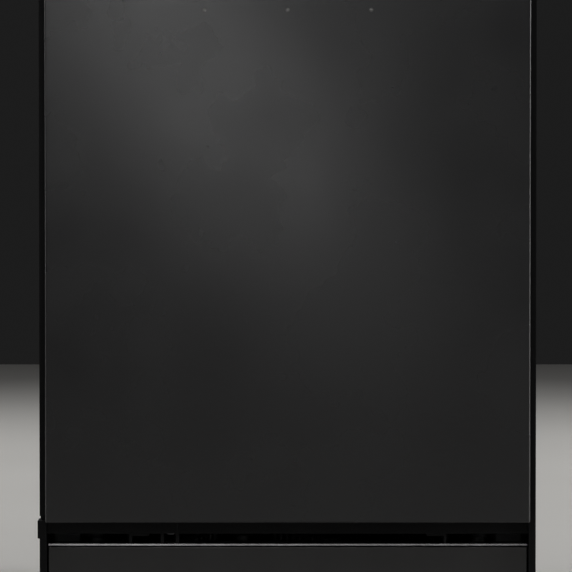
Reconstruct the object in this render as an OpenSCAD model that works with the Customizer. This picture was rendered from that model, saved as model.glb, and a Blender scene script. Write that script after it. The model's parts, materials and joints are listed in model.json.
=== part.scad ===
// Built-in trash compactor: a steel cabinet with a screw-driven ram that presses
// rubbish into a bin, which rides in a full-height drawer.
// Millimetres. +Z is up, the front faces -Y, and the origin is on the floor
// under the middle of the machine.

/* [Cabinet] */
// Width over the cabinet sides
cab_w = 378; // [340:1:460]
// Height from the floor to the top of the fixing tabs
cab_h = 870; // [820:1:1050]
// Depth of the cabinet behind its front edge
cab_d = 560; // [460:1:680]
// Thickness of the sheet steel
sheet = 1.2; // [0.8:0.1:1.6]
// Height of the base pan above the floor
leg_h = 16; // [14:1:20]
// Width of the front stile beside the drawer opening
stile_w = 20; // [16:1:24]
// Width of the front stile beside the toe panel
stile_low_w = 5.3; // [4:0.1:8]
// Depth of the front stiles
stile_d = 4; // [3:0.5:4.5]

/* [Drawer front] */
// Thickness of the drawer front from skin to liner
front_t = 22; // [18:1:28]
// Gap between the drawer front and the cabinet
front_gap = 3; // [2.5:0.5:5]
// Cabinet edge that shows on each side of the drawer front
side_reveal = 5.8; // [3:0.1:9]
// Height of the lower edge of the drawer front
front_low = 118; // [116:1:124]
// Distance from the top of the drawer front to the top of the cabinet
top_reveal = 8; // [6:1:20]
// Spacing of the indicator lights
light_pitch = 62.8; // [30:0.1:80]
// Height of the indicator lights above the lower edge of the drawer front
light_rise = 387; // [200:1:500]
// Diameter of an indicator light
light_d = 3; // [2:0.5:5]

/* [Handle] */
// Diameter of the handle bar
handle_d = 14; // [12:1:20]
// Length of the handle bar
handle_len = 300; // [200:1:330]
// How far the handle stands out from the drawer front
handle_out = 45; // [35:1:60]
// Distance of the handle below the top of the drawer front
handle_drop = 72; // [40:1:160]

/* [Toe panel] */
// Height of the top of the toe panel
toe_top = 99; // [90:0.1:99]
// Height of the lower edge of the toe panel
toe_low = 26; // [25:1:40]
// Distance of the toe panel behind the face of the drawer front
toe_recess = 30; // [28:1:34]
// Depth of the ledge along the top of the toe panel
toe_ledge = 20; // [12:1:22]
// Gap on each side of the toe panel
toe_side_gap = 1; // [0.5:0.1:3]

/* [Bin and drawer] */
// Wall thickness of the bin
bin_wall = 2; // [1.5:0.1:3]
// Height of the bin rim
bin_top = 560; // [450:1:600]
// Height of the bin floor
bin_low = 136; // [136:1:150]
// Diameter of the drawer rollers
roller_d = 22; // [18:1:24]
// Width of the drawer rollers
roller_w = 9; // [7:1:10]
// Diameter of the roller axles
axle_d = 6; // [4:0.5:8]
// Radial clearance of everything that turns on an axle
running = 0.08; // [0.05:0.01:0.1]

/* [Press] */
// Outer diameter of the power screws
screw_d = 20; // [16:1:24]
// Clearance between the ram and the bin walls
ram_clear = 12; // [8:1:20]
// Height of the ram between its face and its yoke
ram_h = 210; // [160:1:240]
// Thickness of the ram face plate
platen_t = 6; // [4:0.5:10]
// Diameter of the motor
motor_d = 116; // [90:1:122]
// Height of the motor
motor_h = 120; // [90:1:150]

/* [Chain and gears] */
// Teeth of each chain sprocket
sprocket_teeth = 14; // [12:1:15]
// Pitch of the drive chain
chain_pitch = 9.525; // [8:0.005:10]
// Teeth of the large drive gear
gear_teeth = 64; // [48:1:72]
// Teeth of the motor pinion
pinion_teeth = 16; // [14:1:20]
// Gear tooth module
gear_module = 1.25; // [1:0.05:1.5]

/* [Hidden] */
$fn = 64;

// Colours
satin_black = [0.09, 0.09, 0.09];
frame_black = [0.05, 0.05, 0.05];
zinc = [0.62, 0.63, 0.65];
steel = [0.55, 0.56, 0.58];
bin_grey = [0.30, 0.31, 0.33];
nylon = [0.85, 0.85, 0.82];
rubber = [0.06, 0.06, 0.06];
bronze = [0.60, 0.45, 0.22];

// Planes along the depth, from the front of the handle to the screws at the back
total_d = handle_out + front_t + front_gap + cab_d;
y_back = total_d / 2;
y_cab = y_back - cab_d;
y_liner = y_cab - front_gap;
y_face = y_liner - front_t;
y_toe = y_face + toe_recess;
screw_head_h = 1.5;
screw_head_r = 4;
rear_out = y_back - screw_head_h - sheet;
rear_in = rear_out - sheet;

// Planes across the width and up the height
in_w = cab_w / 2 - sheet;
tab_t = 2;
top_z = cab_h - tab_t;
base_z = leg_h + sheet;
front_w = cab_w / 2 - side_reveal;
front_top = cab_h - top_reveal;
toe_w = cab_w / 2 - stile_low_w - toe_side_gap;
stile_split = front_low + 3;

// Press frame, power screws and ram
chain_z = 58;
chain_half_h = 4.4;
pitch_r = chain_pitch / (2 * sin(180 / sprocket_teeth));
sprocket_r = pitch_r + 2.3;
sprocket_t = 4.4;
upright_t = 2.5;
screw_x = in_w - upright_t - pitch_r - chain_half_h - 1.5;
nut_r = 15;
yoke_boss_r = 19;
beam_t = 22;
beam_top = top_z - sheet - 4;
beam_low = beam_top - beam_t;
yoke_h = 30;
yoke_top = beam_low - 8;
yoke_low = yoke_top - yoke_h;
platen_low = yoke_low - ram_h;
motor_room = 155;
bin_front = y_cab + 17;
bin_back = y_back - motor_room;
screw_y = (bin_front + bin_back) / 2;
carriage_w = screw_x - screw_d / 2 - 6;
bin_rim = 6;
bin_w = carriage_w - bin_rim - 2;
ram_w = bin_w - bin_wall - ram_clear;
ram_front = bin_front + bin_wall + ram_clear;
ram_back = bin_back - bin_wall - ram_clear;

// Drawer tracks and rollers
roller_r = roller_d / 2;
axle_r = axle_d / 2;
roll_gap = 0.4;
track_x = 106;
track_w = 15;
track_low = 99.5;
track_top = 107;
runner_w = 10;
runner_x = track_x + track_w + 5;
runner_low = 127;
runner_top = bin_low - 3;
front_roller_y = y_cab + 34;
front_roller_z = runner_low - roll_gap - roller_r;
rear_roller_y = bin_back - roller_r - 3;
rear_roller_z = track_top + roll_gap + roller_r;
rear_roller_x = track_x + track_w / 2;

// Motor and gears
gear_r = gear_module * gear_teeth / 2;
pinion_r = gear_module * pinion_teeth / 2;
gear_x = -40;
gear_z = 70;
gear_t = 10;
motor_x = gear_x + gear_r + pinion_r;
motor_z = 92;
motor_plate_t = 4;
gear_axle_r = 6;
motor_shaft_r = 5;

// Toe panel and latch
pivot_y = y_cab + 125;
pivot_z = 50;
arm_x = toe_w - 16;
arm_t = 3;
latch_x = -90;
latch_y = y_cab + 38;
pin_r = 3;

// Fan and filter
fan_x = 70;
fan_z = beam_low - 130;
fan_r = 42;
filter_x = -70;
filter_w = 45;
filter_h = 50;

module block(x, y, z) {
    translate([x[0], y[0], z[0]])
        cube([x[1] - x[0], y[1] - y[0], z[1] - z[0]]);
}

module rod_x(r, x, y, z) {
    translate([x[0], y, z]) rotate([0, 90, 0]) cylinder(r = r, h = x[1] - x[0]);
}

module rod_y(r, x, y, z) {
    translate([x, y[0], z]) rotate([-90, 0, 0]) cylinder(r = r, h = y[1] - y[0]);
}

module rod_z(r, x, y, z) {
    translate([x, y, z[0]]) cylinder(r = r, h = z[1] - z[0]);
}

module both_sides() {
    children();
    mirror([1, 0, 0]) children();
}

// Screws that hold the press uprights to the sides and the rear cover to the back
shank_r = 1.75;
side_screw_y = [screw_y - 18, screw_y + 18];
side_screw_z = [110, 330, 550, 770];
cover_w = 120;
cover_z = [90, 430];
cover_screw_x = [-cover_w + 8, 0, cover_w - 8];
cover_screw_z = [cover_z[0] + 8, cover_z[1] - 8];

module side_screws(head) {
    for (y = side_screw_y, z = side_screw_z) both_sides() {
        rod_x(shank_r, [in_w - upright_t, cab_w / 2], y, z);
        if (head) rod_x(screw_head_r, [cab_w / 2, cab_w / 2 + screw_head_h], y, z);
    }
}

module cover_screws(head) {
    for (x = cover_screw_x, z = cover_screw_z) {
        rod_y(shank_r, x, [rear_in, rear_out + sheet], z);
        if (head) rod_y(screw_head_r, x, [rear_out + sheet, y_back], z);
    }
}

module cabinet_screws() {
    color(zinc) {
        side_screws(true);
        cover_screws(true);
    }
}

// Cord gland hole and fan exhaust slots in the rear wall
gland_x = -140;
gland_z = 70;
gland_r = 8;
cord_r = 4.2;
slot_w = 5;
slot_pitch = 11;
slot_count = 7;
notch_h = 3.4;
notch_d = 12;

module rear_wall() {
    difference() {
        block([-in_w, in_w], [rear_in, rear_out], [leg_h, top_z - sheet]);
        block([-cover_w + 16, cover_w - 16], [rear_in, rear_out], [cover_z[0] + 16, cover_z[1] - 16]);
        rod_y(gland_r, gland_x, [rear_in, rear_out], gland_z);
        for (i = [0 : slot_count - 1])
            translate([fan_x + (i - (slot_count - 1) / 2) * slot_pitch - slot_w / 2, rear_in, fan_z - 34])
                cube([slot_w, sheet, 68]);
    }
}

module front_stile() {
    block([cab_w / 2 - stile_w, in_w], [y_cab, y_cab + sheet], [stile_split, top_z - sheet]);
    block([cab_w / 2 - stile_w, cab_w / 2 - stile_w + sheet], [y_cab, y_cab + stile_d],
          [stile_split, top_z - sheet]);
    block([cab_w / 2 - stile_low_w, in_w], [y_cab, y_cab + sheet], [leg_h, stile_split]);
}

module cabinet_shell() {
    color(frame_black) difference() {
        union() {
            both_sides() {
                block([in_w, cab_w / 2], [y_cab, rear_out], [leg_h, top_z - sheet]);
                front_stile();
            }
            rear_wall();
        }
        side_screws(false);
        cover_screws(false);
        block([-cab_w / 2, -cab_w / 2 + stile_low_w], [y_cab, y_cab + notch_d],
              [front_low - 0.5, front_low - 0.5 + notch_h]);
    }
}

// Base pan with a weld nut for each leg
leg_x = 150;
leg_y = [y_cab + 50, y_back - 30];
stud_r = 4;
nut_h = 9;
pan_front = y_cab + 33;
pan_lip = 24;

module base_pan() {
    color(zinc) difference() {
        union() {
            block([-in_w, in_w], [pan_front, rear_in], [leg_h, base_z]);
            block([-in_w, in_w], [pan_front, pan_front + sheet], [leg_h, pan_lip]);
            both_sides() for (y = leg_y) rod_z(2 * stud_r, leg_x, y, [leg_h, base_z + nut_h]);
        }
        both_sides() for (y = leg_y) rod_z(stud_r + running, leg_x, y, [leg_h, base_z + nut_h]);
    }
}

module top_cover() {
    color(zinc) block([-cab_w / 2, cab_w / 2], [y_cab, rear_out], [top_z - sheet, top_z]);
}

module rear_cover() {
    color(zinc) difference() {
        block([-cover_w, cover_w], [rear_out, rear_out + sheet], cover_z);
        cover_screws(false);
    }
}

rail_h = 22;
rail_d = 16;

module top_front_rail() {
    rail_x = cab_w / 2 - stile_w;
    color(frame_black) {
        block([-rail_x, rail_x], [y_cab, y_cab + sheet], [top_z - sheet - rail_h, top_z - sheet]);
        block([-rail_x, rail_x], [y_cab, y_cab + rail_d], [top_z - 2 * sheet, top_z - sheet]);
    }
}

// Front crossmember with the two ears of the latch pivot
cross_y = y_cab + 5;
cross_top = 121;
cross_back = cross_y + 17;
ear_t = 2.5;
ear_gap = 1.5;
hook_t = 6;
hook_pivot_y = y_cab + 55;
hook_pivot_z = 108;
ear_x = hook_t / 2 + ear_gap;

module front_crossmember() {
    color(frame_black) {
        block([-in_w, in_w], [cross_y, cross_y + sheet], [track_top, cross_top]);
        block([-in_w, in_w], [cross_y, cross_back], [track_top, track_top + sheet]);
        for (x = [latch_x - ear_x - ear_t, latch_x + ear_x])
            block([x, x + ear_t], [cross_y, hook_pivot_y + 6], [track_low, hook_pivot_z + 6]);
        rod_x(pin_r, [latch_x - ear_x, latch_x + ear_x], hook_pivot_y, hook_pivot_z);
    }
}

// Plate that the drawer latch is fitted behind, on the left of the crossmember
latch_plate_x = [-cab_w / 2 + stile_low_w, -cab_w / 2 + stile_low_w + 100];

module latch_plate() {
    color(frame_black)
        block(latch_plate_x, [cross_y - sheet, cross_y], [track_top + 1, cross_top - 4]);
}

rear_cross_y = bin_back + 20;
rear_cross_z = [75, 118];

module rear_crossmember() {
    web_y = rear_cross_y - sheet;
    color(zinc) {
        block([-in_w, in_w], [web_y, rear_cross_y], rear_cross_z);
        for (z = [rear_cross_z[0], rear_cross_z[1] - sheet])
            block([-in_w, in_w], [web_y - 4, rear_cross_y], [z, z + sheet]);
    }
}

// Bracket that wraps the left front edge of the cabinet beside the gap
bracket_t = 1.5;
bracket_h = 13.7;

module side_bracket() {
    z = [front_low - 0.5 - bracket_h, front_low - 0.5];
    color(frame_black) {
        block([-cab_w / 2 - bracket_t, -cab_w / 2], [y_cab - bracket_t, y_cab + 20], z);
        block([-cab_w / 2 - bracket_t, -cab_w / 2 + stile_low_w - 0.5], [y_cab - bracket_t, y_cab], z);
    }
}

// Press frame
upright_w = 34;
upright_flange = 20;

module press_uprights() {
    web_x = in_w - upright_t;
    color(zinc) difference() {
        both_sides() {
            block([web_x, in_w], [screw_y - upright_w, screw_y + upright_w], [base_z, beam_top]);
            for (y = [screw_y - upright_w - upright_t, screw_y + upright_w])
                block([in_w - upright_flange, in_w], [y, y + upright_t], [chain_z + 12, beam_top]);
        }
        side_screws(false);
    }
}

bush_r = screw_d / 2 + 4;
beam_w = 28;
beam_wall = 3;

module press_top_beam() {
    half = in_w - upright_t;
    color(zinc) difference() {
        union() {
            difference() {
                block([-half, half], [screw_y - beam_w, screw_y + beam_w], [beam_low, beam_top]);
                block([-half, half], [screw_y - beam_w + beam_wall, screw_y + beam_w - beam_wall],
                      [beam_low, beam_top - beam_wall]);
            }
            both_sides() rod_z(bush_r + 6, screw_x, screw_y, [beam_low, beam_top]);
        }
        both_sides() rod_z(bush_r, screw_x, screw_y, [beam_low, beam_top]);
    }
}

bearing_w = 22;
bearing_top = 42;
bearing_floor = base_z + 3;
screw_low = bearing_floor + 0.3;
screw_bore = screw_d / 2 + running;

module screw_bearings() {
    color(bronze) both_sides() {
        difference() {
            block([screw_x - bearing_w, screw_x + bearing_w], [screw_y - bearing_w, screw_y + bearing_w],
                  [base_z, bearing_top]);
            rod_z(screw_bore, screw_x, screw_y, [bearing_floor, bearing_top]);
        }
        difference() {
            rod_z(bush_r, screw_x, screw_y, [beam_low, beam_top]);
            rod_z(screw_bore, screw_x, screw_y, [beam_low, beam_top]);
        }
    }
}

// Drawer tracks, with the bracket and axle of each front roller
track_t = 2;
roller_plate_t = 2.5;
roller_plate_w = 10;
roller_side_gap = 2;
front_roller_x = [track_x + track_w + roller_plate_t + roller_side_gap,
                  track_x + track_w + roller_plate_t + roller_side_gap + roller_w];

module drawer_tracks() {
    plate_x = track_x + track_w;
    color(frame_black) both_sides() {
        y = [cross_y + sheet, rear_cross_y - sheet];
        block([track_x, plate_x], y, [track_top - track_t, track_top]);
        block([plate_x - track_t, plate_x], y, [track_low, track_top]);
        block([plate_x, plate_x + roller_plate_t],
              [front_roller_y - roller_plate_w, front_roller_y + roller_plate_w],
              [track_low, front_roller_z + axle_r + 3]);
        rod_x(axle_r, [plate_x, front_roller_x[1] + 2], front_roller_y, front_roller_z);
    }
}

// Brackets and pins that the toe panel turns on
module pedal_brackets() {
    plate_x = arm_x + arm_t + 2;
    color(zinc) both_sides() {
        block([plate_x, plate_x + 3], [pivot_y - 12, pivot_y + 12], [base_z, pivot_z + 10]);
        block([plate_x, plate_x + 14], [pivot_y - 12, pivot_y + 12], [base_z, base_z + 3]);
        rod_x(pin_r, [arm_x - 3, plate_x], pivot_y, pivot_z);
        rod_x(pin_r + 2, [arm_x - 3, arm_x - 1], pivot_y, pivot_z);
    }
}

// Tabs on the top that are screwed to the underside of the worktop
tab_x = 110;
tab_w = 12;
tab_out = 18;
tab_in = 30;
tab_hole_r = 2.5;

module fixing_tabs() {
    color(zinc) both_sides() difference() {
        block([tab_x - tab_w, tab_x + tab_w], [y_cab - tab_out, y_cab + tab_in], [top_z, cab_h]);
        rod_z(tab_hole_r, tab_x, y_cab - tab_out / 2, [top_z, cab_h]);
    }
}

// Motor and gears
motor_y = rear_cross_y + motor_d / 2 + 1.4;
motor_low = motor_z + motor_plate_t;
gear_top = gear_z + gear_t;

module motor_plate() {
    color(zinc) difference() {
        block([gear_x - 50, motor_x + motor_d / 2 + 10], [rear_cross_y, rear_in], [motor_z, motor_low]);
        rod_z(motor_shaft_r + 2, motor_x, motor_y, [motor_z, motor_low]);
    }
}

module motor() {
    color(steel) difference() {
        union() {
            rod_z(motor_d / 2 - 4, motor_x, motor_y, [motor_low, motor_low + motor_h]);
            rod_z(motor_d / 2, motor_x, motor_y, [motor_low, motor_low + 18]);
            rod_z(motor_d / 2, motor_x, motor_y, [motor_low + motor_h - 30, motor_low + motor_h - 8]);
            rod_z(18, motor_x, motor_y, [motor_low + motor_h, motor_low + motor_h + 8]);
        }
        rod_z(motor_shaft_r + running, motor_x, motor_y, [motor_low, motor_low + 30]);
    }
}

gear_hub_r = 12;
gear_hub_z = [chain_z - 6, gear_top + 2];

module drive_gear_axle() {
    color(steel) {
        rod_z(16, gear_x, motor_y, [base_z, base_z + 4]);
        rod_z(gear_axle_r + 3, gear_x, motor_y, [base_z, gear_hub_z[0] - 0.3]);
        rod_z(gear_axle_r, gear_x, motor_y, [base_z, motor_z]);
    }
}

// Involute spur gear: the half width of a tooth, as an angle, at radius q
pressure_angle = 20;
tooth_slack = 0.16;
function involute(a) = tan(a) * 180 / PI - a;
function base_angle(q, r) = acos(min(1, r * cos(pressure_angle) / q));
function half_tooth(q, r, n) =
    90 / n - tooth_slack / r * 90 / PI + involute(pressure_angle) - involute(base_angle(q, r));
function flank(r) = [for (k = [0 : 4]) r + gear_module * (-1.2 + 2.15 * k / 4)];
function tooth(r, n) = concat(
    [for (q = flank(r)) [q, -half_tooth(q, r, n)]],
    [for (k = [4 : -1 : 0]) [flank(r)[k], half_tooth(flank(r)[k], r, n)]]);

// turn is the angle of the middle of the first tooth
module spur_gear(n, turn) {
    r = gear_module * n / 2;
    polygon([for (i = [0 : n - 1]) for (p = tooth(r, n))
        [p[0] * cos(turn + 360 * i / n + p[1]), p[0] * sin(turn + 360 * i / n + p[1])]]);
}

module sprocket(x, y) {
    color(steel) difference() {
        rod_z(sprocket_r, x, y, [chain_z - sprocket_t / 2, chain_z + sprocket_t / 2]);
        for (i = [0 : sprocket_teeth - 1])
            rod_z(2.7, x + pitch_r * cos(360 * i / sprocket_teeth),
                  y + pitch_r * sin(360 * i / sprocket_teeth), [chain_z - sprocket_t, chain_z + sprocket_t]);
    }
}

module drive_gear() {
    color(steel) difference() {
        union() {
            sprocket(gear_x, motor_y);
            rod_z(gear_hub_r, gear_x, motor_y, gear_hub_z);
            difference() {
                translate([gear_x, motor_y, gear_z]) linear_extrude(gear_t) spur_gear(gear_teeth, 0);
                for (a = [0 : 60 : 300])
                    rod_z(8, gear_x + 25 * cos(a), motor_y + 25 * sin(a), [gear_z - 1, gear_top + 1]);
            }
        }
        rod_z(gear_axle_r + running, gear_x, motor_y, gear_hub_z);
    }
}

module motor_pinion() {
    color(steel) {
        translate([motor_x, motor_y, gear_z - 2])
            linear_extrude(gear_t + 4) spur_gear(pinion_teeth, 180 + 180 / pinion_teeth);
        rod_z(motor_shaft_r, motor_x, motor_y, [gear_z - 4, motor_low + 28]);
    }
}

// Roller chain round the two screw sprockets and the drive gear's sprocket
chain_points = [[-screw_x, screw_y], [screw_x, screw_y], [gear_x, motor_y]];
link_t = 1.2;
chain_inner_z = sprocket_t / 2 + 0.8;
roller_start = 17;

// Direction that faces out of the loop on the span that leaves point i
function span_out(i) =
    let (a = chain_points[i % 3], b = chain_points[(i + 1) % 3]) atan2(b[1] - a[1], b[0] - a[0]) - 90;
function swept(i) = (span_out(i) - span_out(i + 2) + 720) % 360;
arc_steps = 14;

module chain_outline(r) {
    polygon([for (i = [0 : 2]) for (k = [0 : arc_steps])
        let (a = span_out(i + 2) + swept(i) * k / arc_steps)
        chain_points[i] + r * [cos(a), sin(a)]]);
}

module chain_strip(z) {
    translate([0, 0, z]) linear_extrude(link_t) difference() {
        chain_outline(pitch_r + chain_half_h);
        chain_outline(pitch_r - chain_half_h);
    }
}

module chain_pins(a, b) {
    length = norm(b - a);
    count = floor((length - 2 * roller_start) / chain_pitch);
    translate([a[0], a[1], 0]) rotate([0, 0, atan2(b[1] - a[1], b[0] - a[0])])
        for (i = [0 : count])
            rod_z(2.54, roller_start + i * chain_pitch, -pitch_r,
                  [chain_z - chain_inner_z, chain_z + chain_inner_z]);
}

module drive_chain() {
    color(steel) {
        chain_strip(chain_z - chain_inner_z - link_t);
        chain_strip(chain_z + chain_inner_z);
        for (i = [0 : 2]) chain_pins(chain_points[i], chain_points[(i + 1) % 3]);
    }
}

// Electrics
control_y = [y_back - 115, y_back - 15];
control_z = [430, 560];

module control_box() {
    color(nylon) {
        block([-in_w, -in_w + 30], control_y, control_z);
        block([-in_w + 30, -in_w + 33], [control_y[0] - 3, control_y[1] + 3],
              [control_z[0] - 3, control_z[1] + 3]);
    }
}

housing_x = [filter_x - filter_w - 5, fan_x + fan_r + 8];
housing_z = [fan_z - filter_h - 5, fan_z + filter_h + 5];
housing_front = y_back - 70;
fan_motor_y = [y_back - 30, y_back - 12];

module fan_housing() {
    color(satin_black) {
        difference() {
            block(housing_x, [housing_front, rear_in], housing_z);
            rod_y(fan_r + 2, fan_x, [housing_front, rear_in], fan_z);
            block([filter_x - filter_w, filter_x + filter_w], [housing_front, y_back - 15],
                  [fan_z - filter_h, fan_z + filter_h]);
            block([filter_x, fan_x], [y_back - 30, y_back - 15], [fan_z - 20, fan_z + 20]);
        }
        rod_y(16, fan_x, fan_motor_y, fan_z);
        rod_y(axle_r, fan_x, [housing_front + 8, fan_motor_y[0]], fan_z);
        for (z = [-1, 1])
            block([fan_x - 3, fan_x + 3], fan_motor_y, [fan_z + z * 30 - 17, fan_z + z * 30 + 17]);
    }
}

module fan_impeller() {
    blade_y = [housing_front + 10, fan_motor_y[0] - 4];
    color(nylon) difference() {
        union() {
            rod_y(14, fan_x, blade_y, fan_z);
            for (i = [0 : 6])
                translate([fan_x, (blade_y[0] + blade_y[1]) / 2, fan_z]) rotate([0, i * 360 / 7, 0])
                    translate([12, 0, 0]) rotate([35, 0, 0])
                        translate([0, -9, -1]) cube([fan_r - 15, 18, 2]);
        }
        rod_y(axle_r + running, fan_x, [blade_y[0] - 1, blade_y[1] + 1], fan_z);
    }
}

module filter_cartridge() {
    gap = 1;
    x = [filter_x - filter_w + gap, filter_x + filter_w - gap];
    z = [fan_z - filter_h + gap, fan_z + filter_h - gap];
    color(satin_black) {
        difference() {
            block(x, [housing_front + 2, y_back - 18], z);
            block([x[0] + 6, x[1] - 6], [housing_front + 2, housing_front + 12], [z[0] + 6, z[1] - 6]);
        }
        block([filter_x - 3, filter_x + 3], [housing_front + 2, housing_front + 12], [z[0] + 6, z[1] - 6]);
    }
}

switch_x = 70;
switch_z = rear_cross_z[1] + 8;
plunger_r = 2.5;

module drawer_switch() {
    color(satin_black) difference() {
        block([switch_x - 12, switch_x + 12], [rear_cross_y - 12, rear_cross_y],
              [rear_cross_z[1], rear_cross_z[1] + 14]);
        rod_y(plunger_r + running, switch_x, [rear_cross_y - 12, rear_cross_y - 2], switch_z);
    }
}

module switch_plunger() {
    color(nylon) {
        rod_y(plunger_r, switch_x, [carriage_back + 0.5, rear_cross_y - 3], switch_z);
        rod_y(plunger_r + 1.5, switch_x, [carriage_back + 0.5, carriage_back + 2], switch_z);
    }
}

module cord_gland() {
    color(satin_black) difference() {
        union() {
            rod_y(gland_r, gland_x, [rear_in - 14, rear_out], gland_z);
            rod_y(gland_r + 3, gland_x, [rear_out, y_back - 0.4], gland_z);
            rod_y(gland_r + 3, gland_x, [rear_in - 5, rear_in], gland_z);
        }
        rod_y(cord_r, gland_x, [rear_in - 14, y_back], gland_z);
    }
}

// Levelling leg: a foot with a stud that turns in the base pan's nut
module leg(x, y) {
    color(zinc) {
        rod_z(16, x, y, [0, 4]);
        rod_z(12, x, y, [4, 7]);
        rod_z(stud_r, x, y, [7, base_z + nut_h + 6]);
    }
}

module leg_front_left() { leg(-leg_x, leg_y[0]); }
module leg_front_right() { leg(leg_x, leg_y[0]); }
module leg_rear_left() { leg(-leg_x, leg_y[1]); }
module leg_rear_right() { leg(leg_x, leg_y[1]); }

// Drawer front: skin, liner and what is between them
skin_in = y_face + sheet;
liner_front = y_liner - sheet;
light_z = front_low + light_rise;
light_x = [-light_pitch, 0, light_pitch];
handle_z = front_top - handle_drop;
post_x = 130;
handle_screw_r = 2.5;
console_w = 150;
console_y = [skin_in + 3, liner_front - 3];
console_low = front_top - 12;

module handle_screws() {
    both_sides() rod_y(handle_screw_r, post_x, [y_face, y_face + 10], handle_z);
}

module drawer_skin() {
    color(satin_black) difference() {
        block([-front_w, front_w], [y_face, liner_front], [front_low, front_top]);
        block([-front_w + sheet, front_w - sheet], [skin_in, liner_front],
              [front_low + sheet, front_top - sheet]);
        block([-console_w, console_w], console_y, [front_top - sheet, front_top]);
        for (x = light_x) rod_y(light_d / 2, x, [y_face, skin_in], light_z);
        handle_screws();
    }
}

module drawer_liner() {
    color(satin_black) block([-front_w, front_w], [liner_front, y_liner], [front_low, front_top]);
}

stiffener_x = [post_x - 15, post_x + 15];
stiffener_t = 1.5;

module drawer_stiffeners() {
    z = [front_low + 6, console_low - 4];
    color(zinc) difference() {
        both_sides() {
            block(stiffener_x, [skin_in, skin_in + stiffener_t], z);
            for (x = [stiffener_x[0], stiffener_x[1] - stiffener_t])
                block([x, x + stiffener_t], [skin_in, liner_front], z);
        }
        handle_screws();
    }
}

// Seal between the drawer front and the front stiles
gasket_x = [front_w - 12, front_w - 2];
gasket_z = [front_low + 5, front_top - 5];
gasket_t = front_gap - 0.4;

module drawer_gasket() {
    color(rubber) difference() {
        block([-gasket_x[1], gasket_x[1]], [y_liner, y_liner + gasket_t], gasket_z);
        block([-gasket_x[0], gasket_x[0]], [y_liner, y_liner + gasket_t],
              [gasket_z[0], gasket_z[1] - 8]);
    }
}

module handle() {
    bar_y = y_face - handle_out + handle_d / 2;
    color(satin_black) {
        rod_x(handle_d / 2, [-handle_len / 2, handle_len / 2], bar_y, handle_z);
        both_sides() rod_y(handle_d / 2 - 1, min(post_x, handle_len / 2 - 8), [bar_y, y_face], handle_z);
        handle_screws();
    }
}

// Controls in the top edge of the drawer front
button_w = 12;
button_d = 4.5;
button_gap = 0.3;
button_h = 2;
button_travel = 1.2;
button_x = [-100, -60, -20];
knob_x = 60;
knob_r = 8;
knob_stem_r = 3;
button_y = (console_y[0] + console_y[1]) / 2;

module console() {
    color(satin_black) difference() {
        block([-console_w, console_w], console_y, [console_low, front_top]);
        for (x = button_x)
            block([x - button_w - button_gap, x + button_w + button_gap],
                  [button_y - button_d - button_gap, button_y + button_d + button_gap],
                  [console_low + 2, front_top]);
        rod_z(knob_stem_r + running, knob_x, button_y, [console_low + 2, front_top]);
    }
}

module push_button(x) {
    color(satin_black) {
        block([x - button_w, x + button_w], [button_y - button_d, button_y + button_d],
              [console_low + 2 + button_travel + 0.5, front_top + button_h - 0.5]);
        block([x - button_w + 0.5, x + button_w - 0.5],
              [button_y - button_d + 0.5, button_y + button_d - 0.5], [front_top, front_top + button_h]);
    }
}

module start_button() { push_button(button_x[0]); }
module stop_button() { push_button(button_x[1]); }
module fan_button() { push_button(button_x[2]); }

module lock_knob() {
    color(satin_black) {
        rod_z(knob_stem_r, knob_x, button_y, [console_low + 2.5, front_top + 1]);
        rod_z(min(knob_r, console_y[1] - button_y), knob_x, button_y, [front_top + 0.3, front_top + 2]);
        block([knob_x - 1.5, knob_x + 1.5], [button_y - 6, button_y + 6], [front_top + 2, front_top + 4]);
    }
}

module indicator_lights() {
    color([0.5, 0.5, 0.5]) for (x = light_x) {
        rod_y(light_d / 2, x, [y_face - 0.3, y_face + 8], light_z);
        rod_y(light_d / 2 + 1.5, x, [skin_in, skin_in + 2], light_z);
    }
}

board_x = light_pitch + 16;
board_z = [light_z - 14, light_z + 14];

module indicator_board() {
    color([0.05, 0.25, 0.12]) {
        block([-board_x, board_x], [y_face + 8, y_face + 9.6], board_z);
        both_sides() for (z = [board_z[0] + 4, board_z[1] - 4])
            rod_y(2.5, board_x - 4, [skin_in, y_face + 8], z);
    }
}

// Carriage that carries the bin, with its runners, rear roller brackets and latch strike
tray_low = runner_top;
carriage_wall = 2;
carriage_front_t = 2.4;
carriage_back = bin_back + carriage_wall;
carriage_side_h = 64;
carriage_front_h = 314;
rear_plate_x = [track_x - 2, track_x + 0.5];
strike_low = 122.5;

module drawer_carriage() {
    color(zinc) {
        block([-carriage_w, carriage_w], [y_liner, bin_back], [tray_low, bin_low]);
        block([-carriage_w, carriage_w], [y_liner, y_liner + carriage_front_t],
              [runner_low, bin_low + carriage_front_h]);
        both_sides() {
            block([carriage_w - carriage_wall, carriage_w], [y_liner, carriage_back],
                  [tray_low, bin_low + carriage_side_h]);
            block([runner_x, runner_x + runner_w], [y_liner, bin_back], [runner_low, runner_top]);
            block(rear_plate_x, [rear_roller_y - 9, rear_roller_y + 9], [rear_roller_z - 5, tray_low]);
            rod_x(axle_r, [rear_plate_x[0], rear_roller_x + roller_w / 2 + 1], rear_roller_y, rear_roller_z);
        }
        block([-carriage_w, carriage_w], [bin_back, carriage_back], [switch_z - 6, bin_low + 20]);
        block([latch_x - 6, latch_x + 6], [latch_y - 5, latch_y + 5], [strike_low, tray_low]);
    }
}

// Pair of rollers on one line across the machine
module roller_pair(x, y, z) {
    color(nylon) both_sides() difference() {
        rod_x(roller_r, x, y, z);
        rod_x(axle_r + running, [x[0] - 1, x[1] + 1], y, z);
    }
}

module front_rollers() { roller_pair(front_roller_x, front_roller_y, front_roller_z); }

module rear_rollers() {
    roller_pair([rear_roller_x - roller_w / 2, rear_roller_x + roller_w / 2], rear_roller_y, rear_roller_z);
}

// Bin, whose right side is a separate panel
rim_t = 3;
panel_x = bin_w - bin_wall;

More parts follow.
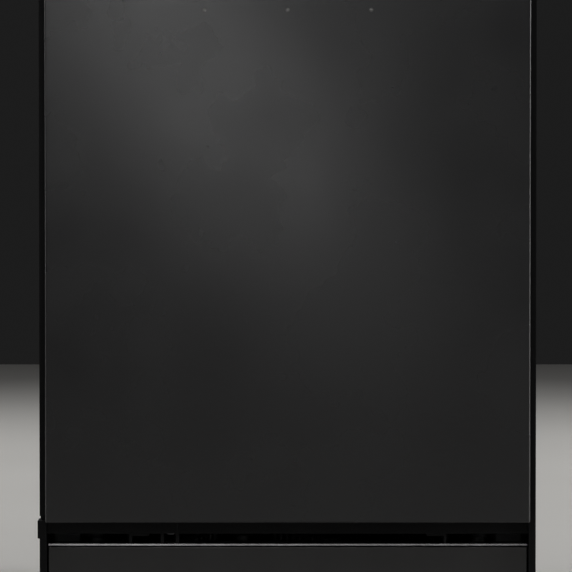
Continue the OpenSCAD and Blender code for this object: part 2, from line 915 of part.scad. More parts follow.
module bin_body() {
    color(bin_grey) difference() {
        union() {
            block([-bin_w, bin_w], [bin_front, bin_back], [bin_low, bin_top]);
            block([-bin_w - bin_rim, bin_w + bin_rim], [bin_front - bin_rim, bin_back + bin_rim],
                  [bin_top - rim_t, bin_top]);
        }
        block([-bin_w + bin_wall, panel_x], [bin_front + bin_wall, bin_back - bin_wall],
              [bin_low + bin_wall, bin_top]);
        block([panel_x, bin_w + bin_rim], [bin_front + bin_wall, bin_back - bin_wall],
              [bin_low + bin_wall, bin_top]);
    }
}

module bin_side_panel() {
    color(bin_grey) {
        block([panel_x, bin_w], [bin_front + bin_wall, bin_back - bin_wall], [bin_low + bin_wall, bin_top]);
        block([bin_w, bin_w + bin_rim], [bin_front + bin_wall, bin_back - bin_wall],
              [bin_top - rim_t, bin_top]);
    }
}

module bag_buttons() {
    x = bin_w + bin_rim / 2;
    color(satin_black) both_sides() for (y = [bin_front - bin_rim / 2, bin_back + bin_rim / 2]) {
        rod_z(2.8, x, y, [bin_top, bin_top + 5]);
        rod_z(4.5, x, y, [bin_top + 4, bin_top + 7]);
    }
}

// Toe panel: a folded pan with an arm at each end that turns on the pedal brackets
arm_z = [pivot_z - 12, pivot_z + 12];

module toe_panel() {
    depth = toe_ledge - 2;
    color(satin_black) {
        block([-toe_w, toe_w], [y_toe, y_toe + sheet], [toe_low, toe_top]);
        block([-toe_w, toe_w], [y_toe, y_toe + toe_ledge], [toe_top - sheet, toe_top]);
        block([-toe_w, toe_w], [y_toe, y_toe + sheet + 6], [toe_low, toe_low + sheet]);
        both_sides() {
            block([toe_w - sheet, toe_w], [y_toe, y_toe + depth], [toe_low, toe_top]);
            difference() {
                block([arm_x, arm_x + arm_t], [y_toe, pivot_y + 10], arm_z);
                rod_x(pin_r + running, [arm_x - 1, arm_x + arm_t + 1], pivot_y, pivot_z);
            }
        }
    }
}

// Spring that lifts the toe panel, drawn as a ribbed sleeve
spring_y = y_cab + 60;
spring_turns = 5;

module pedal_spring() {
    height = arm_z[0] - base_z;
    pitch = height / spring_turns;
    color(steel) translate([arm_x + arm_t / 2, spring_y, base_z]) rotate_extrude()
        polygon(concat([[3.5, 0]],
            [for (i = [0 : spring_turns - 1]) for (p = [[5, 0], [6, 0.5]]) [p[0], (i + p[1]) * pitch]],
            [[5, height], [3.5, height]]));
}

module latch_hook() {
    x = [latch_x - hook_t / 2, latch_x + hook_t / 2];
    tip_y = latch_y - 5 - 0.5;
    tip_top = strike_low - 0.5;
    color(steel) difference() {
        union() {
            rod_x(pin_r + 4, x, hook_pivot_y, hook_pivot_z);
            block(x, [tip_y - 5.5, hook_pivot_y], [hook_pivot_z - 4, hook_pivot_z + 5]);
            block(x, [tip_y - 5.5, tip_y], [hook_pivot_z - 4, tip_top]);
        }
        rod_x(pin_r + running, [x[0] - 1, x[1] + 1], hook_pivot_y, hook_pivot_z);
    }
}

// Ram: a hollow box between its face plate and the yoke that the power screws drive
ram_wall = 2;

module ram_box() {
    z = [platen_low + platen_t, yoke_low];
    color(zinc) difference() {
        block([-ram_w, ram_w], [ram_front, ram_back], z);
        block([-ram_w + ram_wall, ram_w - ram_wall], [ram_front + ram_wall, ram_back - ram_wall], z);
    }
}

module ram_platen() {
    color(steel) block([-ram_w, ram_w], [ram_front, ram_back], [platen_low, platen_low + platen_t]);
}

yoke_d = 30;

module ram_yoke() {
    z = [yoke_low, yoke_top];
    color(zinc) difference() {
        union() {
            block([-screw_x, screw_x], [screw_y - yoke_d, screw_y + yoke_d], z);
            both_sides() rod_z(yoke_boss_r, screw_x, screw_y, z);
        }
        both_sides() {
            block([beam_w, screw_x - yoke_boss_r - 4], [screw_y - yoke_d + 4, screw_y - 4],
                  [yoke_low + 5, yoke_top]);
            block([beam_w, screw_x - yoke_boss_r - 4], [screw_y + 4, screw_y + yoke_d - 4],
                  [yoke_low + 5, yoke_top]);
            rod_z(nut_r, screw_x, screw_y, z);
        }
    }
}

module power_nuts() {
    color(bronze) both_sides() difference() {
        rod_z(nut_r, screw_x, screw_y, [yoke_low, yoke_top]);
        rod_z(screw_bore, screw_x, screw_y, [yoke_low, yoke_top]);
    }
}

module power_screw(x) {
    color(steel) {
        rod_z(screw_d / 2, x, screw_y, [screw_low, beam_top]);
        rod_z(screw_d / 2 + 4, x, screw_y, [bearing_top + 0.3, chain_z + sprocket_t / 2]);
        sprocket(x, screw_y);
    }
}

module power_screw_left() { power_screw(-screw_x); }
module power_screw_right() { power_screw(screw_x); }

cabinet_shell();
base_pan();
top_cover();
rear_cover();
top_front_rail();
front_crossmember();
rear_crossmember();
latch_plate();
side_bracket();
press_uprights();
press_top_beam();
screw_bearings();
drawer_tracks();
pedal_brackets();
fixing_tabs();
cabinet_screws();
motor_plate();
motor();
drive_gear_axle();
drive_chain();
control_box();
fan_housing();
drawer_switch();
cord_gland();
leg_front_left();
leg_front_right();
leg_rear_left();
leg_rear_right();
drawer_skin();
drawer_liner();
drawer_stiffeners();
drawer_gasket();
handle();
console();
indicator_lights();
indicator_board();
drawer_carriage();
bin_body();
bin_side_panel();
bag_buttons();
start_button();
stop_button();
fan_button();
lock_knob();
front_rollers();
rear_rollers();
toe_panel();
pedal_spring();
latch_hook();
ram_box();
ram_platen();
ram_yoke();
power_nuts();
power_screw_left();
power_screw_right();
drive_gear();
motor_pinion();
fan_impeller();
filter_cartridge();
switch_plunger();
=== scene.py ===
# %% [markdown]
# # A built-in trash compactor, finished for the camera
#
# The machine is a tall steel cabinet with a full-height drawer, a toe panel under it, and a press inside
# that two long screws pull down into a bin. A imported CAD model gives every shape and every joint.
# Our work is the surface of it: rounded sheet edges, paint, zinc, rubber, screw heads, chain links and
# threads. We start by loading that model as a fixed frame, and note its box, which nothing may outgrow.

# %% Load the fixed frame
import json
import math
import random

import bmesh
import bpy
from mathutils import Matrix, Vector


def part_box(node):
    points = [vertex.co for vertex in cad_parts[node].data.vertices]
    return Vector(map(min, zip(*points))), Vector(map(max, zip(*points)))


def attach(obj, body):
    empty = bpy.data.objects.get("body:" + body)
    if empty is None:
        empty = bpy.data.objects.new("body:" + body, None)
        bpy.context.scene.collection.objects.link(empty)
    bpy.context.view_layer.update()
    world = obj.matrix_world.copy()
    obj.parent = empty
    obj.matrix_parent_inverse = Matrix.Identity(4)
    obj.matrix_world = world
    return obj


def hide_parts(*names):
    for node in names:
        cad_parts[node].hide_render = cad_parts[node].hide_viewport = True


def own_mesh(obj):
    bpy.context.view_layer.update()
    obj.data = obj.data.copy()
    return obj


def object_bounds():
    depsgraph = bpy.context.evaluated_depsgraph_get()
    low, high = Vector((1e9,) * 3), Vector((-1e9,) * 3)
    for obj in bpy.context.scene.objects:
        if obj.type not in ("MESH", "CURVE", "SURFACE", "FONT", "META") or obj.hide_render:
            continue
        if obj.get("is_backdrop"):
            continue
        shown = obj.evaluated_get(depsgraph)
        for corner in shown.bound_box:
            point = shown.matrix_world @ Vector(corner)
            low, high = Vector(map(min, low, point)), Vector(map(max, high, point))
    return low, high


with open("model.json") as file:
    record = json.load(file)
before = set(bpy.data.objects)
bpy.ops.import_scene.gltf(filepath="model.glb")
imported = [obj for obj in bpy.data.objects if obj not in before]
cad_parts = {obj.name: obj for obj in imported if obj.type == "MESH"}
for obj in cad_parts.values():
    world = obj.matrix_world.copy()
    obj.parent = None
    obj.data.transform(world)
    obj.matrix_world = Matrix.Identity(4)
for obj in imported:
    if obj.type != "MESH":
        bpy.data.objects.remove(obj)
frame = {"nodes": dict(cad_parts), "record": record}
cad_low, cad_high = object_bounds()
MM = 0.001
BODY_OF = {node: body for body, nodes in frame["record"]["behaviour"]["bodies"].items() for node in nodes}
SLOT_OF = {part["node"]: part["material_slot"] for part in frame["record"]["subparts"]}

# %% [markdown]
# ## Camera
#
# The view is straight on, close, and a little above the toe panel, as of somebody who kneels in front of
# the machine. A long lens keeps the edges of the drawer front parallel. The camera stands three metres in
# front of the drawer front and tips down by two degrees, so the thin ledge of the toe panel just shows
# under the drawer. It aims at a point low on the drawer front.

# %% Camera
def new_object(name, data):
    """An object that shows this data, in the scene."""
    made = bpy.data.objects.new(name, data)
    bpy.context.scene.collection.objects.link(made)
    return made


skin_low, skin_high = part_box("drawer_skin")
FACE_Y = skin_low.y
VIEW_DISTANCE = 3.0
VIEW_WIDTH = 0.431
AIM = Vector((-0.0013, FACE_Y, skin_low.z + 0.1792))
EYE = Vector((AIM.x, FACE_Y - VIEW_DISTANCE, AIM.z + 0.108))

camera_data = bpy.data.cameras.new("camera")
camera_data.sensor_width = 36.0
camera_data.lens = camera_data.sensor_width * VIEW_DISTANCE / VIEW_WIDTH
camera = new_object("camera", camera_data)
camera.location = EYE
camera.rotation_euler = (AIM - EYE).to_track_quat("-Z", "Y").to_euler()
bpy.context.scene.camera = camera
bpy.context.scene.view_settings.view_transform = "Standard"
print("lens", round(camera_data.lens, 1), "mm")

# %% [markdown]
# ## Small helpers
#
# Colours are written as the hex values a paint maker gives, which are sRGB, while a shader wants linear
# light, so one function turns one into the other. A second function adds a node with its settings, and
# sets each input to a value or joins it to another node's socket. Every material and every Geometry
# Nodes tree below is built with that one function.

# %% Colour and node helpers
def linear(hex_code):
    """An sRGB hex colour as linear red, green, blue and alpha."""
    values = [int(hex_code[i:i + 2], 16) / 255 for i in (1, 3, 5)]
    return [v / 12.92 if v <= 0.04045 else ((v + 0.055) / 1.055) ** 2.4 for v in values] + [1.0]


def add_node(tree, kind, settings=None, inputs=None):
    """A node of this kind. An input, by name or by number, takes a value or is joined to a socket."""
    node = tree.nodes.new(kind)
    for name, value in (settings or {}).items():
        setattr(node, name, value)
    for name, value in (inputs or {}).items():
        if isinstance(value, bpy.types.NodeSocket):
            tree.links.new(value, node.inputs[name])
        else:
            node.inputs[name].default_value = value
    return node


print("black paint in linear light:", [round(v, 4) for v in linear("#202020")[:3]])

# %% [markdown]
# ## How a finish is put together
#
# Almost everything here is paint, plating or moulded plastic, and they differ in few ways: colour, gloss,
# whether it is metal, how fine its grain is, and how blotchy it has become. So one function starts a
# material from those facts. The grain is a noise in real millimetres on Object coordinates that bends the
# normal a little. The blotches are a slow noise that shifts the roughness, which is what finger grease
# and uneven spraying do. `wear` lets bare, lighter material show along the edges: a Bevel node looks a
# millimetre around, and where the faces it meets turn away, the coat is thin. A finish that needs more,
# such as the spangle of zinc, adds nodes of its own.

# %% The start of every finish
def start_finish(name, colour, roughness, metallic=0.0, ior=1.5, grain=None, blotch=None, wear=None,
                 stretch=(1, 1, 1)):
    """A material and its parts. grain is (size mm, height mm), blotch (size mm, roughness change) and
    wear (hex colour, amount)."""
    material = bpy.data.materials.new(name)
    material.use_nodes = True
    tree = material.node_tree
    shader = tree.nodes["Principled BSDF"]
    shader.inputs["Base Color"].default_value = linear(colour)
    shader.inputs["Roughness"].default_value = roughness
    shader.inputs["Metallic"].default_value = metallic
    shader.inputs["IOR"].default_value = ior
    place = add_node(tree, "ShaderNodeTexCoord").outputs["Object"]
    if stretch != (1, 1, 1):
        place = add_node(tree, "ShaderNodeMapping", inputs={"Vector": place, "Scale": stretch}).outputs[0]
    if grain:
        noise = add_node(tree, "ShaderNodeTexNoise",
                         inputs={"Vector": place, "Scale": 1 / (grain[0] * MM), "Detail": 2.0})
        bump = add_node(tree, "ShaderNodeBump",
                        inputs={"Height": noise.outputs["Fac"], "Distance": grain[1] * MM, "Strength": 1.0})
        tree.links.new(bump.outputs[0], shader.inputs["Normal"])
    if blotch:
        patch = add_node(tree, "ShaderNodeTexNoise",
                         inputs={"Vector": place, "Scale": 1 / (blotch[0] * MM), "Detail": 4.0})
        spread = add_node(tree, "ShaderNodeMapRange",
                          inputs={"Value": patch.outputs["Fac"], "From Min": 0.3, "From Max": 0.7,
                                  "To Min": roughness - blotch[1], "To Max": roughness + blotch[1]})
        tree.links.new(spread.outputs[0], shader.inputs["Roughness"])
    if wear:
        bent = add_node(tree, "ShaderNodeBevel", {"samples": 4}, {"Radius": 0.9 * MM}).outputs[0]
        flat = add_node(tree, "ShaderNodeNewGeometry").outputs["Normal"]
        along = add_node(tree, "ShaderNodeVectorMath", {"operation": "DOT_PRODUCT"}, {0: bent, 1: flat})
        rub = add_node(tree, "ShaderNodeMapRange",
                       inputs={"Value": along.outputs["Value"], "From Min": 0.99, "From Max": 0.8,
                               "To Max": wear[1]})
        worn = add_node(tree, "ShaderNodeMix", {"data_type": "RGBA"},
                        {0: rub.outputs[0], 6: linear(colour), 7: linear(wear[0])})
        tree.links.new(worn.outputs[2], shader.inputs["Base Color"])
    return material, tree, shader, place


print("finishes start from", start_finish.__name__)

# %% [markdown]
# ## The finishes
#
# The drawer front is cold-rolled steel with a black polyester powder coat, sprayed dry and baked. It
# flows into a faint orange peel, a few millimetres from crest to crest, and stays satin, so a lamp shows
# in it as a wide soft cloud. The toe panel has the same coat, rubbed smoother. The cabinet is dipped in
# thin black paint, which lies rough on the rolled sheet and rubs through to grey at the folds. Its black
# is set darker than the paint's own, as painted shade for the parts in the gap under the drawer.

# %% Paints
FINISH = {}
# Polyester powder on steel: satin, with orange peel. The peel is drawn 6 mm wide so that it shows.
FINISH["front_black"] = start_finish("powder_coated_steel_front", "#1b1b1c", 0.27, grain=(6.0, 0.05),
                                     blotch=(90, 0.035), wear=("#3a3a3b", 0.35))[0]
# The same coat, polished by shoes: smoother, and its blotches are smaller.
FINISH["toe_black"] = start_finish("powder_coated_steel_toe", "#1b1b1c", 0.17, grain=(5.0, 0.05),
                                   blotch=(35, 0.03), wear=("#4c4c4d", 0.5))[0]
# Thin alkyd paint on rolled sheet: matt, with a weak sheen, and the rolled grain shows through it.
# Its colour is darker than the paint itself: painted shade for the crossmember and stiles in the gap under
# the drawer.
FINISH["frame_black"] = start_finish("dip_painted_sheet_and_painted_shade", "#0a0a0b", 0.5, ior=1.22, grain=(1.6, 0.02),
                                     blotch=(60, 0.06), wear=("#2a2a2c", 0.5))[0]
# Baked grey enamel on a rolled motor shell: half gloss, with paler edges.
FINISH["motor_enamel"] = start_finish("enamelled_motor_shell", "#4b4d50", 0.35, grain=(3, 0.05),
                                      blotch=(30, 0.05), wear=("#8c8e90", 0.5))[0]
# Textured powder on the bin: a coarse dry grain that hides scratches.
FINISH["bin_grey"] = start_finish("textured_powder_bin", "#5d6064", 0.55, grain=(1.8, 0.12),
                                  blotch=(70, 0.05), wear=("#9da0a3", 0.5))[0]
print("paints:", ", ".join(m.name for m in FINISH.values()))

# %% [markdown]
# Galvanised sheet is steel dipped in zinc. The zinc freezes in crystals about a centimetre across, and
# each crystal reflects at its own angle: the spangle. A Voronoi pattern gives every crystal one random
# value, and that value moves both its grey and its roughness. The turned and ground parts, such as the
# power screws and the gears, are bare steel with fine tool marks that run round them, under a film of oil.

# %% Metals
def galvanised_sheet():
    """Hot-dipped zinc on sheet steel, spangle 9 mm, dulled by handling."""
    material, tree, shader, place = start_finish("galvanised_sheet", "#9a9da0", 0.42, metallic=1.0,
                                                 grain=(2.5, 0.02))
    crystal = add_node(tree, "ShaderNodeTexVoronoi", inputs={"Vector": place, "Scale": 1 / (9 * MM)})
    share = add_node(tree, "ShaderNodeSeparateColor", inputs={0: crystal.outputs["Color"]}).outputs[0]
    gloss = add_node(tree, "ShaderNodeMapRange", inputs={"Value": share, "To Min": 0.4, "To Max": 0.48})
    tree.links.new(gloss.outputs[0], shader.inputs["Roughness"])
    tone = add_node(tree, "ShaderNodeMix", {"data_type": "RGBA"},
                    {0: share, 6: linear("#8b8e92"), 7: linear("#a4a7a9")})
    tree.links.new(tone.outputs[2], shader.inputs["Base Color"])
    return material


def turned_steel():
    """Bare carbon steel from the lathe: tool marks 0.8 mm apart, drawn so that they show."""
    material, tree, shader, place = start_finish("turned_steel", "#8d8e90", 0.32, metallic=1.0,
                                                 blotch=(20, 0.06), stretch=(1, 1, 6))
    marks = add_node(tree, "ShaderNodeTexNoise", inputs={"Vector": place, "Scale": 1 / (5 * MM)})
    bump = add_node(tree, "ShaderNodeBump", inputs={"Height": marks.outputs["Fac"], "Distance": 0.03 * MM})
    tree.links.new(bump.outputs[0], shader.inputs["Normal"])
    return material


FINISH["galvanised"] = galvanised_sheet()
FINISH["bright_steel"] = turned_steel()
# Cast tin bronze of the bushes and nuts: a warm brown, darkened by grease.
FINISH["bronze"] = start_finish("oiled_tin_bronze", "#a07840", 0.38, metallic=1.0, grain=(1.2, 0.04),
                                blotch=(12, 0.08))[0]
print("metals:", ", ".join(FINISH[slot].name for slot in ("galvanised", "bright_steel", "bronze")))

# %% [markdown]
# The plastics are moulded. The keys and housings are black ABS with the fine spark-eroded grain of their
# mould, the rollers and the fan wheel are natural nylon, milky and waxy, and the seal is extruded EPDM
# rubber with a dry bloom. The three lenses are milky acrylic, pale dots while the lamps behind them are
# off. The circuit board is glass epoxy under green solder mask, with its copper tracks as ridges.

# %% Plastics, rubber, lens and board
def natural_nylon():
    """Natural polyamide: off-white, waxy, with light scattered just under its skin."""
    material, _, shader, _ = start_finish("natural_nylon", "#d9d6cb", 0.4, ior=1.53, grain=(2, 0.03),
                                          blotch=(15, 0.06))
    shader.inputs["Subsurface Weight"].default_value = 0.15
    shader.inputs["Subsurface Scale"].default_value = 1.5 * MM
    return material


def solder_mask_board():
    """Glass epoxy board: ridges of copper 2 mm apart under a green mask."""
    material, tree, shader, place = start_finish("solder_mask_board", "#1c5a35", 0.3, ior=1.55)
    track = add_node(tree, "ShaderNodeTexBrick",
                     inputs={"Vector": place, "Scale": 1 / (8 * MM), "Color1": linear("#1c5a35"),
                             "Color2": linear("#216a3e"), "Mortar": linear("#2f8a52")})
    tree.links.new(track.outputs["Color"], shader.inputs["Base Color"])
    bump = add_node(tree, "ShaderNodeBump", inputs={"Height": track.outputs["Fac"], "Distance": 0.05 * MM})
    tree.links.new(bump.outputs[0], shader.inputs["Normal"])
    return material


# ABS from a spark-eroded mould: a dull, even grain of 0.7 mm.
FINISH["black_plastic"] = start_finish("moulded_black_abs", "#1d1d1e", 0.48, ior=1.53, grain=(0.7, 0.03),
                                       blotch=(25, 0.05))[0]
FINISH["white_nylon"] = natural_nylon()
# Black EPDM rubber: matt, with a dry and slightly uneven skin.
FINISH["black_rubber"] = start_finish("extruded_epdm", "#161616", 0.72, ior=1.52, grain=(1.0, 0.05),
                                      blotch=(20, 0.06))[0]
# Milky acrylic with its reflector close behind: half a mirror, half a haze, so it shows as a pale dot.
FINISH["light_lens"] = start_finish("milky_acrylic_lens", "#6a6a68", 0.27, metallic=0.35, ior=1.49,
                                    grain=(3, 0.004), blotch=(5, 0.03))[0]
FINISH["circuit_board"] = solder_mask_board()
print(len(FINISH), "finishes, one for each slot of the record")

# %% [markdown]
# ## From mesh to piece
#
# Every mesh that we make has to be told three things: which body it moves with, which CAD nodes it
# stands for, and which finish slot of the record it shows. One function says all three. Flat faces stay
# flat and curved ones look smooth when edges sharper than 35 degrees are marked sharp.

# %% Pieces
SHARP = math.radians(35)


def mesh_object(name, shape, material=None):
    """An object from a bmesh, smooth except at its sharp edges."""
    mesh = bpy.data.meshes.new(name)
    shape.to_mesh(mesh)
    shape.free()
    mesh.polygons.foreach_set("use_smooth", [True] * len(mesh.polygons))
    mesh.set_sharp_from_angle(angle=SHARP)
    if material:
        mesh.materials.append(material)
    return new_object(name, mesh)


def plain_mesh(piece):
    """What the piece's modifiers make, kept as a plain mesh. A second pass gives large faces the say over
    the normals at their corners, so that a flat sheet stays flat beside a rounded edge."""
    for step in ("shape", "normals"):
        bpy.context.view_layer.update()
        evaluated = piece.evaluated_get(bpy.context.evaluated_depsgraph_get())
        made = bpy.data.meshes.new_from_object(evaluated)
        piece.modifiers.clear()
        piece.data = made
        if step == "shape":
            made.polygons.foreach_set("use_smooth", [True] * len(made.polygons))
            made.set_sharp_from_angle(angle=SHARP)
            flatten = piece.modifiers.new("flat_sheets", "WEIGHTED_NORMAL")
            flatten.keep_sharp = True
            flatten.weight = 90
    return piece


def settle(piece, node):
    """The piece rides with this node's body, stands for the node and shows its finish."""
    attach(piece, BODY_OF[node])
    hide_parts(node)
    if not piece.data.materials:
        piece.data.materials.append(FINISH[SLOT_OF[node]])
    return piece


def add_bevel(piece, width, segments=3):
    """Rounds every sharp edge by this many millimetres."""
    bevel = piece.modifiers.new("rounded_edges", "BEVEL")
    bevel.width = width * MM
    bevel.segments = segments
    bevel.limit_method = "ANGLE"
    bevel.angle_limit = SHARP
    bevel.use_clamp_overlap = True
    return piece


def joined(piece, others):
    """One object made of several, under the first one's name."""
    with bpy.context.temp_override(active_object=piece, selected_editable_objects=[piece, *others]):
        bpy.ops.object.join()
    return piece


def extent(node):
    """The CAD node's low corner, high corner and middle."""
    low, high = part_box(node)
    return low, high, (low + high) / 2


print("pieces are made by", mesh_object.__name__, "and placed by", settle.__name__)

# %% [markdown]
# ## Real edges on CAD shapes
#
# A CAD solid has perfect corners, and a perfect corner never catches the light. Sheared sheet has a
# burr-worn edge of a few tenths of a millimetre, a bent one a radius of its own thickness, and both draw
# the thin bright lines by which we read a machine. So a node whose shape is already right is copied, its
# loose triangles are merged into whole faces, and a bevel rounds it. The CAD node itself stays untouched.

# %% Dressing a CAD node
def cad_shape(node):
    """A bmesh copy of a CAD node, with its triangles merged into whole faces."""
    shape = bmesh.new()
    shape.from_mesh(frame["nodes"][node].data)
    bmesh.ops.remove_doubles(shape, verts=shape.verts, dist=0.002 * MM)
    bmesh.ops.dissolve_limit(shape, angle_limit=math.radians(0.5), verts=shape.verts, edges=shape.edges)
    return shape


def dress(node, edge=0.35, segments=2):
    """A copy of a CAD node with rounded edges of this many millimetres, which stands for the node."""
    piece = mesh_object(node + "_finished", cad_shape(node))
    return settle(plain_mesh(add_bevel(piece, edge, segments)), node)


sheet_parts = ["cabinet_shell", "base_pan", "top_front_rail", "front_crossmember", "rear_crossmember",
               "latch_plate", "side_bracket", "press_uprights", "drawer_tracks", "pedal_brackets",
               "fixing_tabs", "drawer_liner", "drawer_stiffeners", "drawer_carriage", "bin_side_panel",
               "motor_plate", "rear_cover"]
for node in sheet_parts:
    dress(node)
block_parts = {"press_top_beam": 0.8, "screw_bearings": 0.8, "control_box": 2.0, "fan_housing": 1.2,
               "drawer_switch": 0.6, "ram_box": 0.5, "ram_platen": 1.2, "ram_yoke": 1.2, "power_nuts": 0.6,
               "motor": 1.5, "drive_gear_axle": 0.6, "latch_hook": 0.6, "switch_plunger": 0.5,
               "console": 0.4, "drive_gear": 0.2, "motor_pinion": 0.2, "fan_impeller": 0.5,
               "filter_cartridge": 0.8, "indicator_board": 0.2}
for node, edge in block_parts.items():
    dress(node, edge)
print(len(sheet_parts) + len(block_parts), "nodes dressed")

# %% [markdown]
# ## The drawer front
#
# The skin is a steel pan: a flat face with its four edges folded back, which gives bends of about 1.5 mm
# outside radius. We fold it the same way. A box without its back face is bevelled along its bends, and
# Solidify gives it the sheet's thickness inwards. Booleans then punch what the press would: three holes
# for the lights and the slot in the top edge for the controls.

# %% Folded pans
SHEET = 1.2 * MM


def box_shape(low, high):
    """A bmesh box between two corners."""
    shape = bmesh.new()
    size = Vector(high) - Vector(low)
    middle = (Vector(high) + Vector(low)) / 2
    bmesh.ops.create_cube(shape, size=1, matrix=Matrix.Translation(middle) @ Matrix.Diagonal((*size, 1)))
    return shape


def folded_pan(name, low, high, radius):
    """A pan of sheet steel, open at the back, with bends of this outside radius."""
    shape = box_shape(low, high)
    back = [f for f in shape.faces if f.normal.y > 0.9]
    bmesh.ops.delete(shape, geom=back, context="FACES")
    bends = [e for e in shape.edges if len(e.link_faces) == 2]
    bmesh.ops.bevel(shape, geom=bends, offset=radius, offset_type="OFFSET", segments=5, profile=0.5,
                    affect="EDGES")
    piece = mesh_object(name, shape)
    wall = piece.modifiers.new("sheet", "SOLIDIFY")
    wall.thickness = SHEET
    wall.offset = -1
    wall.use_even_offset = True
    return plain_mesh(piece)


def rounded_box(name, low, high, edge, segments=3):
    """A box with all its edges rounded by this many millimetres."""
    return plain_mesh(add_bevel(mesh_object(name, box_shape(low, high)), edge, segments))


def rod_profile(radius, low, high):
    """The profile of a plain rod, for turned()."""
    return [(0, low), (radius, low), (radius, high), (0, high)]


def punch(piece, cutters):
    """Cuts the cutters out of the piece and throws them away."""
    for cutter in cutters:
        cut = piece.modifiers.new("punched", "BOOLEAN")
        cut.operation = "DIFFERENCE"
        cut.solver = "EXACT"
        cut.object = cutter
    plain_mesh(piece)
    for cutter in cutters:
        bpy.data.objects.remove(cutter)
    return piece


def turned(name, profile, centre, axis="Z", steps=48):
    """A turned solid: profile is (radius, height) in millimetres, spun about an axis through centre."""
    shape = bmesh.new()
    rings = []
    for radius, height in profile:
        count = steps if radius > 0 else 1
        rings.append([shape.verts.new((radius * MM * math.cos(2 * math.pi * k / steps),
                                       radius * MM * math.sin(2 * math.pi * k / steps), height * MM))
                      for k in range(count)])
    closed = profile[0][0] > 0 and profile[-1][0] > 0
    for a, b in zip(rings, rings[1:] + ([rings[0]] if closed else [])):
        for k in range(steps):
            corners = [a[k % len(a)], a[(k + 1) % len(a)], b[(k + 1) % len(b)], b[k % len(b)]]
            corners = [v for i, v in enumerate(corners) if v not in corners[:i]]
            if len(corners) > 2:
                shape.faces.new(corners)
    bmesh.ops.recalc_face_normals(shape, faces=shape.faces)
    aim = {"X": Vector((1, 0, 0)), "Y": Vector((0, 1, 0)), "Z": Vector((0, 0, 1))}[axis]
    shape.transform(Matrix.Translation(centre) @ aim.to_track_quat("Z", "Y").to_matrix().to_4x4())
    return mesh_object(name, shape)


lens_low, lens_high, lens_middle = extent("indicator_lights")
LIGHT_R = 1.5
FLANGE_R = 3 * MM
LIGHT_PITCH = (lens_high.x - lens_low.x) / 2 - FLANGE_R
light_spots = [Vector((k * LIGHT_PITCH, FACE_Y, lens_middle.z)) for k in (-1, 0, 1)]

EDGE_RADIUS = 1.5 * MM
front = folded_pan("drawer_front_skin", skin_low, skin_high, EDGE_RADIUS)
console_low, console_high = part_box("console")
slot_cutter = mesh_object("slot_cutter", box_shape(console_low, console_high + Vector((0, 0, 5 * MM))))
holes = [turned("hole", rod_profile(LIGHT_R, -5, 5), spot, "Y") for spot in light_spots]
punch(front, holes + [slot_cutter])
settle(front, "drawer_skin")
print("drawer front", [round(v * 1000, 1) for v in front.dimensions], "mm")

# %% [markdown]
# ## The toe panel
#
# The toe panel is a pan too, recessed behind the drawer front, with a deep ledge on top that a shoe
# presses. The ledge is a hemmed strip, whose front leans back by about sixteen degrees. That lean is what
# turns a lamp in front into the one bright line at the foot of the machine, and the seam below the hem
# stays dark. The pan's bottom fold is short, so a box cuts the rest of it away. The two arms that carry it
# are separate plates, which we join to the pan because they are welded to it and move with it.

# %% Toe panel
toe_low, toe_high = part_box("toe_panel")
LEDGE = 20 * MM
toe_back = toe_low.y + LEDGE
PROUD, HEM, SEAM, LEAN = 0.4 * MM, 1.6 * MM, 0.9 * MM, 0.46 * MM
tread_top = toe_high.z + PROUD
tread_low = tread_top - HEM
toe = folded_pan("toe_panel_finished", toe_low, Vector((toe_high.x, toe_back, tread_low - SEAM)), 0.6 * MM)
INSIDE, FOLD = 1.3 * MM, 7.2 * MM
trim = mesh_object("trim", box_shape((toe_low.x + INSIDE, toe_low.y + FOLD, toe_low.z - MM),
                                     (toe_high.x - INSIDE, toe_back + MM, toe_low.z + 3 * MM)))
punch(toe, [trim])
arm_low_z, arm_high_z = 38 * MM, 62 * MM
ARM_IN, ARM_T, PIN_IN = 16 * MM, 3 * MM, 10 * MM
PIN_HOLE_R = 3.08
arms = []
for side in (-1, 1):
    x = sorted((side * (toe_high.x - ARM_IN), side * (toe_high.x - ARM_IN + ARM_T)))
    arm = rounded_box("arm", (x[0], toe_low.y + SHEET, arm_low_z), (x[1], toe_high.y, arm_high_z), 0.4, 2)
    pin = Vector((side * (toe_high.x - ARM_IN), toe_high.y - PIN_IN, (arm_low_z + arm_high_z) / 2))
    arms.append(punch(arm, [turned("eye", rod_profile(PIN_HOLE_R, -9, 9), pin, "X")]))
tread_shape = box_shape((toe_low.x, toe_low.y - PROUD, tread_low), (toe_high.x, toe_back, tread_top))
for corner in tread_shape.verts:
    if corner.co.z > toe_high.z and corner.co.y < toe_low.y:
        corner.co.y += LEAN
tread = plain_mesh(add_bevel(mesh_object("tread", tread_shape), 0.2))
settle(joined(toe, arms + [tread]), "toe_panel")
print("toe panel", [round(v * 1000, 1) for v in toe.dimensions], "mm")

# %% [markdown]
# ## Handle and lights
#
# The handle is a bar on two posts. Its ends are domed and each post widens into a flange where it meets
# the skin, as a spun part does. The lights are three small lenses pressed through the skin from behind,
# so each has a flange that stays inside and a dome that stands a little proud.

# %% Handle and lights
def dome(radius, height, base, steps=6):
    """Profile points of a quarter ellipse, from the rim at base to the tip, (radius, height) in mm."""
    return [(radius * math.cos(a), base + height * math.sin(a))
            for a in (math.pi / 2 * k / steps for k in range(steps + 1))][:-1] + [(0, base + height)]


